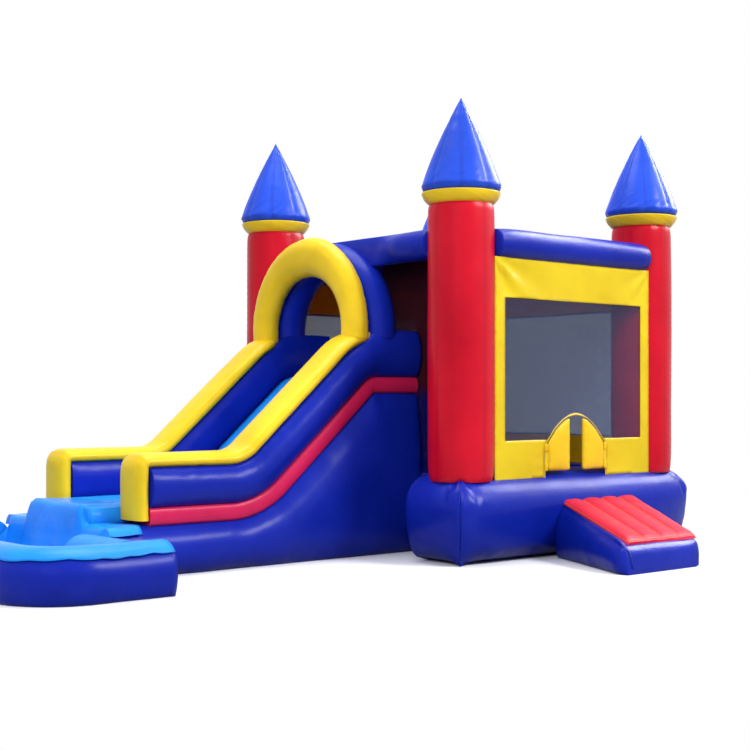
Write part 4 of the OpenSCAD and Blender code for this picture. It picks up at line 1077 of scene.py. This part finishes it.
def block_side(x, z, far=FAR_SIDE, shrink=0.0):
    """Ring across a chamber under the slide, z high, at one X."""
    f = steps((0, 0.1, 5), (0.15, 0.85, 22), (0.9, 1, 5))
    return carry((x, 0, 0), box_ring(NEAR_SIDE + shrink, far - shrink, 0, z, f, 0.05, (0.07, 0.07), 34, 34))


def chambers():
    x0, z0 = along(low_bend(ANGLE), -BAND_HALF)
    top, slope, ease_x = BAND_LOW - BAND_HALF, math.tan(ANGLE), 0.05
    front = [(0, 0.80, 0.055), (0.008, 0.87, 0.04), (0.025, 0.935, 0.022), (0.05, 0.98, 0.008)]
    landing = [block_side(FRONT_X + a, top * b, shrink=c) for a, b, c in front]
    foot = [along(p, -BAND_HALF) for p in slide_path(FRONT_X + 0.09, DECK_X)]
    landing += [block_side(x, z) for x, z in foot if x < x0 - 0.01] + [block_side(x0, z0)]
    body = [block_side(x, z0 + (x - x0) * slope) for x in np.linspace(x0 + GAP, JOINT_X, 34)]
    end = []
    start = DECK_X - ease_x
    round_x = start + ease_x * np.sin(np.linspace(0.1, math.pi / 2, 8))
    for x in np.concatenate([np.linspace(JOINT_X + GAP, start, 16), round_x]):
        z = min(BAND_HIGH - BAND_HALF, z0 + (x - x0) * slope)
        e = max(0.0, (x - DECK_X + ease_x) / ease_x)
        end.append(block_side(x, z, TOWER_FAR, 0.03 * (1 - math.sqrt(max(1 - e * e, 0)))))
    a, b = len(landing), len(landing) + len(body)
    parts = [("slide_landing", 0, a, FLAT), ("slide_body", a, b, FLAT),
             ("platform_tower", b, b + len(end), FLAT)]
    seams = seam("u", [0], 0.012, 0.13, 0.13) + seam("u", (31, 64), 0.012, 0.12, 0.12)
    seams += seam("u", [95], 0.012, 0.13, 0.13)
    inflated(None, landing + body + end, BLUE, seams, 91, 0.009, air=0.020, parts=parts)


chambers()


def deck():
    x0, low, high = LEVEL_X + GAP, BAND_HIGH - BAND_HALF + GAP, BAND_HIGH + LANE_RISE
    rings = []
    for x in np.linspace(x0, DECK_X, 14):
        h = high - 0.012 * math.exp(-min(x - x0, DECK_X - x) / 0.03)
        rings.append(carry((x, 0, 0), pad_ring(LANE_W + 0.054, h - 0.0112 * (1 - quilt(41)), low), SLIDE_Y))
    inflated("platform_deck", rings, BLUE, seam("u", range(0, 41, 10), 0.004, 0.07, 0.05), 94, 0.002)


deck()


def lane():
    n, w, low, lip = 65, LANE_W / 2 + 0.054, -0.079, 0.0788
    over = np.stack([(np.linspace(0, 1, n) - 0.5) * (LANE_W - 0.008), 0.080 + 0.022 * quilt(n)], 1)
    side = [(w, lip), (w, -0.02), (w, low)]
    under = side + between((w, low), (-w, low), 9) + [(-x, z) for x, z in side[::-1]]
    ring = np.concatenate([over, under])
    rings = [carry(p, ring, SLIDE_Y) for p in slide_path(FRONT_X + 0.03, LEVEL_X)]
    seams = seam("u", range(0, n, 16), 0.006, 0.08, 0.06) + seam("v", [0], 0.006, 0.08, 0.06)
    inflated("slide_bed", rings, AZURE, seams, 95, 0.003, (0.02, 0.0), 0.006)


lane()


# Rails, their caps and the red bands: inner is the side of the lane, 1 or -1 along Y
def rail(tag, y, inner, seed):
    start, knee, half = LEVEL_X - 0.06, LEVEL_X + 0.012, RAIL_W / 2
    f = steps((0, 0.1, 4), (0.16, 0.84, 10), (0.9, 1, 4))
    rings = []
    for p in slide_path(RAIL_X + CAP_T + GAP, GUARD_END):
        t = min(max((p[0] - start) / (knee - start), 0), 1) if p[2] < 0.5 else 0.0
        high = RAIL_TOP + CAP_T * t - 2 * GAP
        ring = box_ring(-half, half, BAND_HALF + GAP, high, f, 0.04, (0.05, 0.0), 9, 9)
        rings.append(carry(p, ring * (inner, 1), y))
    seams = seam("u", (0, 17, 25, 42), 0.007, 0.09, 0.07)
    inflated(f"rail_{tag}", rings, BLUE, seams, seed, 0.005, (0, 0.01), 0.014)


def rail_cap(tag, y, inner, seed):
    half, mid, t = RAIL_W / 2, RAIL_TOP + CAP_T / 2, CAP_T / 2
    turn = t + 0.001
    front, top, edge = RAIL_X + t, BAND_LOW + mid - turn, half - 0.04
    path = [(front, z, math.pi / 2) for z in np.linspace(BAND_LOW - 0.03, top, 13)[:-1]]
    for a in np.linspace(math.pi / 2, 0, 9):
        path.append((front + turn - turn * math.sin(a), top + turn * math.cos(a), a))
    path += [(*along(p, mid), p[2]) for p in slide_path(front + turn + 0.03, LEVEL_X)]
    ring = []
    for a in np.linspace(0, math.pi, 31):
        c = math.copysign(abs(math.cos(a)) ** 0.72, math.cos(a))
        ring.append((-(half - 0.004) * c, -t * 0.25 + t * 1.25 * math.sin(a) ** 0.9))
    ring += [(half - 0.012, -t * 0.6), (edge, -t), *between((edge, -t), (-edge, -t), 9), (-edge, -t),
             (-half + 0.012, -t * 0.6)]
    ring = np.array(ring)
    rings = []
    for p in path:
        narrow = 1 - 0.32 * ease((p[0] - LEVEL_X + 0.14) / 0.14)
        tight = 1 - 0.93 * ease((p[0] - LEVEL_X + 0.26) / 0.24)
        wide = np.where(ring[:, 0] * inner > 0, tight, narrow)
        rings.append(carry(p, np.stack([ring[:, 0] * wide, ring[:, 1]], 1), y))
    seams = seam("u", (33, 41), 0.006, 0.07, 0.07) + seam("v", [17], 0.006, 0.07, 0.06)
    inflated(f"rail_cap_{tag}", rings, YELLOW, seams, seed, 0.004, air=0.006)


def stripe(tag, y, inner, seed):
    half, v = RAIL_W / 2 - 0.04, BAND_HALF
    end, f = half - 0.03, np.linspace(0, 1, 13)
    bulge = np.stack([-half - swell(f, 0, 0.028), -v + 2 * v * f], 1)
    back = np.stack([np.full(5, end), np.linspace(v, -v, 5)], 1)
    ring = [bulge, between((-half, v), (end, v), 7), back, between((end, -v), (-half, -v), 7)]
    ring = np.concatenate(ring) * (inner, 1)
    rings = [carry(p, ring, y) for p in slide_path(RAIL_X + CAP_T + GAP, GUARD_END)]
    inflated(f"stripe_{tag}", rings, CRIMSON, seam("u", (0, 12), 0.004, 0.08, 0.04), seed, 0.002)


for make, seed in ((rail, 101), (rail_cap, 103), (stripe, 105)):
    make("near", NEAR_Y, 1, seed)
    make("far", FAR_Y, -1, seed + 1)


# Arch over the head of the slide
def arch(name, mat, out, deep, x, seams, seed, lean=0.0, grow=0.0):
    """A tube with a section out from its middle line and deep along X.
    lean lifts its crown, grow widens it there."""
    rings = []
    feet = np.array((0.03, 0.06, 0.09))
    for a in np.concatenate([-feet[::-1], np.linspace(0, math.pi, 72), math.pi + feet]):
        drop = min(a, math.pi - a, 0.0)
        a = min(max(a, 0.0), math.pi)
        up = math.sin(a)
        r = ARCH_R + lean * up + out * (1 - grow + grow * 1.6 * up * up)
        rings.append(np.stack([x + deep, ARCH_Y + r * math.cos(a), GUARD_HIGH + drop + r * up], 1))
    inflated(name, rings, mat, seams, seed, 0.004, air=0.010)


def arches():
    c, s = np.cos(circle(48)), np.sin(circle(48))
    out, deep = 0.185 * np.copysign(np.abs(c) ** 0.75, c), ARCH_T * np.copysign(np.abs(s) ** 0.8, s)
    seams = seam("u", [0], 0.006, 0.08, 0.07) + seam("u", [24], 0.009, 0.07, 0.09)
    seams += seam("v", (0, -1), 0.006, 0.06, 0.07)
    arch("arch_front", YELLOW, out, deep, HOOD_X - HOOD_R - GAP - ARCH_T, seams, 111, 0.02, 0.16)
    seams = seam("u", [24], 0.008, 0.08, 0.09) + seam("v", (0, -1), 0.006, 0.07, 0.08)
    seams += seam("u", [38], 0.007, 0.08, 0.06)
    arch("arch_hood", BLUE, HOOD_R * c, HOOD_R * s, HOOD_X, seams, 112)


arches()


def hoop(x, y, z, r, n):
    """A ring about an axis along Y."""
    th = circle(n)
    return np.stack([x + r * np.cos(th), np.full(n, y), z + r * np.sin(th)], 1)


def climb():
    foot, top, half, x0 = 0.7603, BAND_HIGH + LANE_RISE, 0.35, DECK_X + 0.0046
    f = np.linspace(0, 1, 24)
    rings = []

    def face(t):
        """Where the climbing face stands at a part t of its height, as x and z."""
        return DECK_X + 0.445 - 0.385 * t, foot + (top - foot) * t

    for t in np.linspace(0, 1, 30):
        x1, z = face(t)
        back = np.stack([np.full(14, x0), np.linspace(half, -half, 14)], 1)
        front = np.stack([x1 + swell(f, 0.012, 0) + 0.012 * math.sin(math.pi * t), -half + 2 * half * f], 1)
        near, far = between((x0, -half), (x1, -half), 10), between((x1, half), (x0, half), 10)
        ring = np.concatenate([back, near, front, far]) + (0, SLIDE_Y)
        rings.append(np.column_stack([ring, np.full(len(ring), z)]))
    inflated("climb_wall", rings, FLOOR_BLUE, seam("v", [0], 0.006, 0.08, 0.07), 121)
    for k in range(1, 5):
        (x, z), half = face((k - 0.5) / 4), 0.32
        rings = []
        for y in np.linspace(-half, half, 30):
            e = min((half - abs(y)) / 0.05, 1)
            r = 0.065 * math.sqrt(e * (2 - e) * 0.9 + 0.1)
            rings.append(hoop(x, SLIDE_Y + y, z, r, 24))
        seams = seam("v", (0, -1), 0.004, 0.04, 0.04)
        inflated(None, rings, RED, seams, 122 + k, 0.002, name=f"climb_step_{k}")


climb()


# Landing pool
def pool_line(step=0.04):
    """Points and outward directions along the pool's tubes, and where the corners start and end."""
    bx, (y0, y1) = POOL_X0 + POOL_R + POOL_BEND, POOL_Y

    def corner(y, start):
        outs = [(-math.cos(a), math.sin(a)) for a in np.linspace(start, start + math.pi / 2, 17)]
        return [((bx + POOL_BEND * o[0], y + POOL_BEND * o[1]), o) for o in outs]

    pts = [((x, y0), (0, -1)) for x in np.arange(POOL_X1, bx, -step)]
    first_bend = len(pts)
    pts += corner(y0 + POOL_BEND, -math.pi / 2)
    pts += [((POOL_X0 + POOL_R, y), (-1, 0)) for y in np.arange(y0 + POOL_BEND + step, y1 - POOL_BEND, step)]
    pts += corner(y1 - POOL_BEND, 0)
    last_bend = len(pts)
    pts += [((x, y1), (0, 1)) for x in np.arange(bx + step, POOL_X1 + 1e-6, step)]
    return pts, first_bend, last_bend


def tube_section():
    """Upper half round, lower half drawn in to its ground seams: s outward, z up."""
    d = POOL_R / 5
    big = (d * d + POOL_R ** 2) / (2 * d)
    foot = POOL_R - d
    up = [(POOL_R * math.cos(a), POOL_R + POOL_R * math.sin(a)) for a in np.linspace(0, math.pi, 31)]
    rise = [(POOL_R - big + math.sqrt(big ** 2 - (POOL_R - z) ** 2), z)
            for z in np.linspace(0, POOL_R, 9)[:-1]]
    down = [(-s, z) for s, z in rise[::-1]]
    return up + down + between((-foot, 0), (foot, 0), 9) + rise


def pool():
    section = tube_section()
    line, b0, b1 = pool_line()

    def rings(part):
        return [[(p[0] + o[0] * s, p[1] + o[1] * s, z) for s, z in section] for p, o in part]

    seams = seam("u", (38, 46), 0.008, 0.09, 0.09) + seam("v", (0, -1), 0.009, 0.08, 0.09)
    parts = [("pool_wall_near", 0, b0 + 1, (0.006, 0.0)), ("pool_wall_end", b0, b1, FLAT),
             ("pool_wall_far", b1 - 1, len(line), (0.0, 0.006))]
    inflated(None, rings(line), BLUE, seams, 131, 0.005, air=0.006, parts=parts)
    # short bolsters beside the landing
    start, end = POOL_Y[0] + POOL_R + 0.0051, NEAR_SIDE + 0.015
    for k, (a, b) in enumerate([(start, end), (2 * SLIDE_Y - end, 2 * SLIDE_Y - start)]):
        part = [((POOL_X1 - GAP - POOL_R, y), (1, 0)) for y in np.linspace(a, b, 20)]
        inflated(None if k else "pool_wall_rear", rings(part), AZURE, seams, 134 + k, 0.005, air=0.010,
                 name=f"pool_bolster_{k + 1}")
    # liner over the tubes: scalloped outer edge, down the inside to the floor
    n, r, over = 34, POOL_R + 0.016, 0.72
    q = np.linspace(0, 1, n)
    e = np.maximum(q - over, 0) / (1 - over)
    P, run = [], 0.0
    for k, (p, o) in enumerate(line):
        run += math.dist(p, line[max(k - 1, 0)][0])
        edge_z = 0.352 - 0.010 * abs(math.sin(math.pi * run / 0.21)) + 0.006 * math.sin(run * 9.1)
        a0 = math.asin(min((edge_z - POOL_R) / r, 1))
        a = a0 + (math.pi - a0) * np.minimum(q / over, 1)
        out = r * np.cos(a) - 0.03 * e * e
        z = POOL_R + r * np.sin(a) - (POOL_R - 0.046) * e
        P.append(np.stack([p[0] + o[0] * out, p[1] + o[1] * out, z], 1))
    P = np.array(P)
    seams = seam("u", [0], 0.006, 0.08, 0.05) + seam("u", [n - 1], 0.008, 0.10, 0.08)
    P, d, s = sew(P, False, seams, 137, 0.003)
    cloth_sheet("pool_liner", P, d, s, AZURE, "pool_lip")
    # floor
    loop = box_loop(POOL_X0 + POOL_R + 0.17, POOL_X1 - 0.02, POOL_Y[0] + 0.17, POOL_Y[1] - 0.17)
    v, f, d, s = fill_outline([loop], 0.05)
    z = 0.036 + 0.008 * noise_at(v[:, 0] * 3, v[:, 1] * 3, 0, 138)
    verts = np.concatenate([np.column_stack([v, z]), np.column_stack([v, 0 * z])])
    build("pool_floor_skin", verts, slab_faces(f, len(v)), AZURE, "pool_floor", np.tile(d, 2),
          np.tile(s, 2))


pool()


def apron():
    """Sheet over the landing's front: raised on the lane, down the front into the pool, with a short fall
    beside the bolsters."""
    top_x = np.linspace(RAIL_X - 0.01, FRONT_X + 0.03, 9)
    fall = dense([(-4.612, 0.985), (-4.640, 0.94), (-4.655, 0.86), (-4.668, 0.72), (-4.685, 0.50),
                  (-4.715, 0.30), (-4.765, 0.13), (-4.85, 0.025), (-4.95, 0.0)], 0.045, False)
    ys = np.concatenate([[-0.648, -0.640, -0.625, -0.605], np.linspace(-0.585, 1.275, 104),
                         [1.295, 1.315, 1.330, 1.338]])
    P = []
    for y in ys:
        lane = ease((y + 0.225) / 0.12) * ease((0.915 - y) / 0.12)
        over = max(NEAR_SIDE + 0.01 - y, y - FAR_SIDE - 0.01, 0) / 0.08
        top = 0.454 + 0.172 * lane - 0.065 * min(over, 1) ** 2
        hang = ease((y + 0.56) / 0.06) * ease((1.25 - y) / 0.06)
        foot = 0.36 + (0.052 - 0.36) * hang
        row = [(x, y, top + 0.006 * math.sin(9 * x + 7 * y)) for x in top_x]
        for k, (x, g) in enumerate(fall):
            e = hang * max(0.0, (k - 4) / (len(fall) - 4))
            ripple = 0.035 * e * math.sin((y - SLIDE_Y) * 15 + 1.5 * math.sin(y * 4))
            ripple += 0.02 * e * float(noise_at(y * 5, k * 0.15, 3.0, 140))
            near = FRONT_X - 0.006 - 0.014 * (1 - g)
            z = foot + (top - foot) * g
            row.append((near + (x - near) * hang + 0.4 * ripple, y, z + max(ripple, 0) * 0.25 * (z < 0.2)))
        P.append(row)
    P = np.array(P)
    P, d, s = sew(P, False, seam("u", [0], 0.002, 0.08, 0.05) + seam("v", [0], 0.002, 0.08, 0.05), 141, 0.003)
    cloth_sheet("slide_apron", P, d, s, AZURE, None)


apron()


# Inflation sleeve, gathered on the fan's outlet by a strap
def sleeve():
    y0, y1, z, r, tie_at, n = 1.80, 2.300, 0.184, 0.109, 0.90, 64
    th = circle(n)
    rings = []
    for t in np.linspace(0, 1, 40):
        tie = math.exp(-((t - tie_at) / 0.035) ** 2)
        loose = math.sin(math.pi * min(t / 0.92, 1)) ** 0.8
        ripple = 0.004 * loose * np.sin(th * 9 + 5 * t) + 0.003 * tie * np.sin(th * 22)
        rings.append(hoop(FAN_X, y0 + (y1 - y0) * t, z, r + 0.004 * loose - 0.002 * tie + ripple, n))
    seams = seam("v", [3], 0.006, 0.05, 0.08) + seam("v", [37], 0.005, 0.04, 0.05)
    P, d, s = sew(rings, True, seams + seam("u", [48], 0.003, 0.06, 0.04), 151, 0.003)
    cloth_sheet("inflation_sleeve_skin", P, d, s, BLUE, "inflation_sleeve",
                tube=True)
    ring = [(0.003, -0.016), (0.006, -0.016), (0.0068, 0), (0.006, 0.016), (0.003, 0.016), (0.003, -0.016)]
    P = np.array([hoop(FAN_X, y0 + (y1 - y0) * tie_at + b, z, r + a, n) for a, b in ring])
    build("sleeve_strap", P.reshape(-1, 3), grid_faces(len(ring), n, True), STRAP)


sleeve()


# Anchor straps, which run in under the rolled foot of the base
def anchors():
    w, start, length, hole = 0.045, -0.185, 0.16, 0.0163
    loop = [(start, -w), (length, -w)]
    loop += [(length + w * math.sin(a), -w * math.cos(a)) for a in np.linspace(0, math.pi, 15)[1:-1]]
    loop += [(length, w), (start, w)]
    eye = [(length + hole * math.cos(a), hole * math.sin(a)) for a in circle(20)]
    v, f, d, s = fill_outline([loop, eye], 0.012)
    side, back, inset = AX + BASE_FOOT, AY + BASE_FOOT, 0.15
    spots = [(side, AY - inset, 0), (side, -AY + inset, 0), (AX - inset, back, 1), (-AX + inset, back, 1)]
    for k, (x, y, turn) in enumerate(spots):
        z = 0.0034 + 0.0006 * noise_at(v[:, 0] * 30, v[:, 1] * 30, 0, 160 + k) - 0.0012 * np.exp(-d / 0.003)
        p = np.stack([x - v[:, 1], y + v[:, 0]] if turn else [x + v[:, 0], y + v[:, 1]], 1)
        verts = np.concatenate([np.column_stack([p, z]), np.column_stack([p, 0 * z])])
        build(f"anchor_strap_{k + 1}", verts, slab_faces(f, len(v)), STRAP, None if k else "anchor_tabs",
              np.tile(d, 2), np.tile(s, 2))


anchors()

blow_up()

# Rigid parts keep their solids
for name, mat in {
    "fan_casing": moulded("fan_plastic", (52, 54, 60)),
    "fan_wheel": metal("fan_sheet", (176, 178, 182)),
    "fan_motor": moulded("motor_paint", (92, 96, 102), rough=0.38, grain=500.0, scuff=0.35),
    "fan_switch": moulded("switch_red", (196, 22, 28), rough=0.3),
    "anchor_eyelets": metal("eyelet_brass", (196, 156, 84), rough=0.3),
}.items():
    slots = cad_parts[name].data.materials
    slots.clear()
    slots.append(mat)


# Stage
def stage():
    bpy.ops.mesh.primitive_plane_add(size=120, location=(0, 0, 0))
    floor = bpy.context.object
    floor.name = "studio_floor"
    m = Surface("floor")
    m.wire(m.bsdf, {"Roughness": 0.9, "Specular IOR Level": 0.1, "Base Color": (0.90, 0.90, 0.93, 1)})
    far = m.add("VectorMath", {0: m.coord}, "Value", operation="LENGTH")
    white = m.add("Emission", {"Color": (1, 1, 1, 1), "Strength": 1.0})
    pale = m.add("MixShader", {0: m.remap(far, 4.6, 8.5, 0.0, 1.0), 1: m.bsdf.outputs[0], 2: white})
    m.blend(m.seen(), m.add("BsdfDiffuse", {"Color": (0.16, 0.16, 0.18, 1)}), pale)
    floor.data.materials.append(m.owner)
    scene.world = bpy.data.worlds.new("studio")
    m = Shader(scene.world, "OutputWorld")
    soft = m.add("Background", {0: (0.86, 0.92, 1.0, 1), 1: 0.42})
    m.blend(m.seen(), soft, m.add("Background", {0: (1, 1, 1, 1)}))
    for name, place, aim, size, watts, gloss in (
        ("key", (4.0, -12.0, 10.5), (-1.0, 0, 1.2), 5.0, 1760, True),
        ("fill", (-12.0, -8.0, 6.5), (-1.5, 0, 1.2), 7.0, 1000, False),
        ("top", (-2.0, 1.0, 12.0), (-2.0, 0, 0), 8.0, 1000, True),
        ("back", (6.0, 10.0, 7.0), (0, 0.5, 1.5), 5.0, 600, False),
        ("sheen", (10.0, -2.0, 10.0), (0, -1.0, 1.0), 8.0, 3000, True),
    ):
        lamp = bpy.data.lights.new(name, "AREA")
        lamp.shape = "DISK"
        lamp.size = size
        lamp.energy = watts
        ob = look(name, lamp, place, Vector(aim) - Vector(place))
        ob.visible_camera = False
        ob.visible_glossy = gloss
        ob.visible_diffuse = name != "sheen"


stage()
scene.view_settings.view_transform = "Standard"
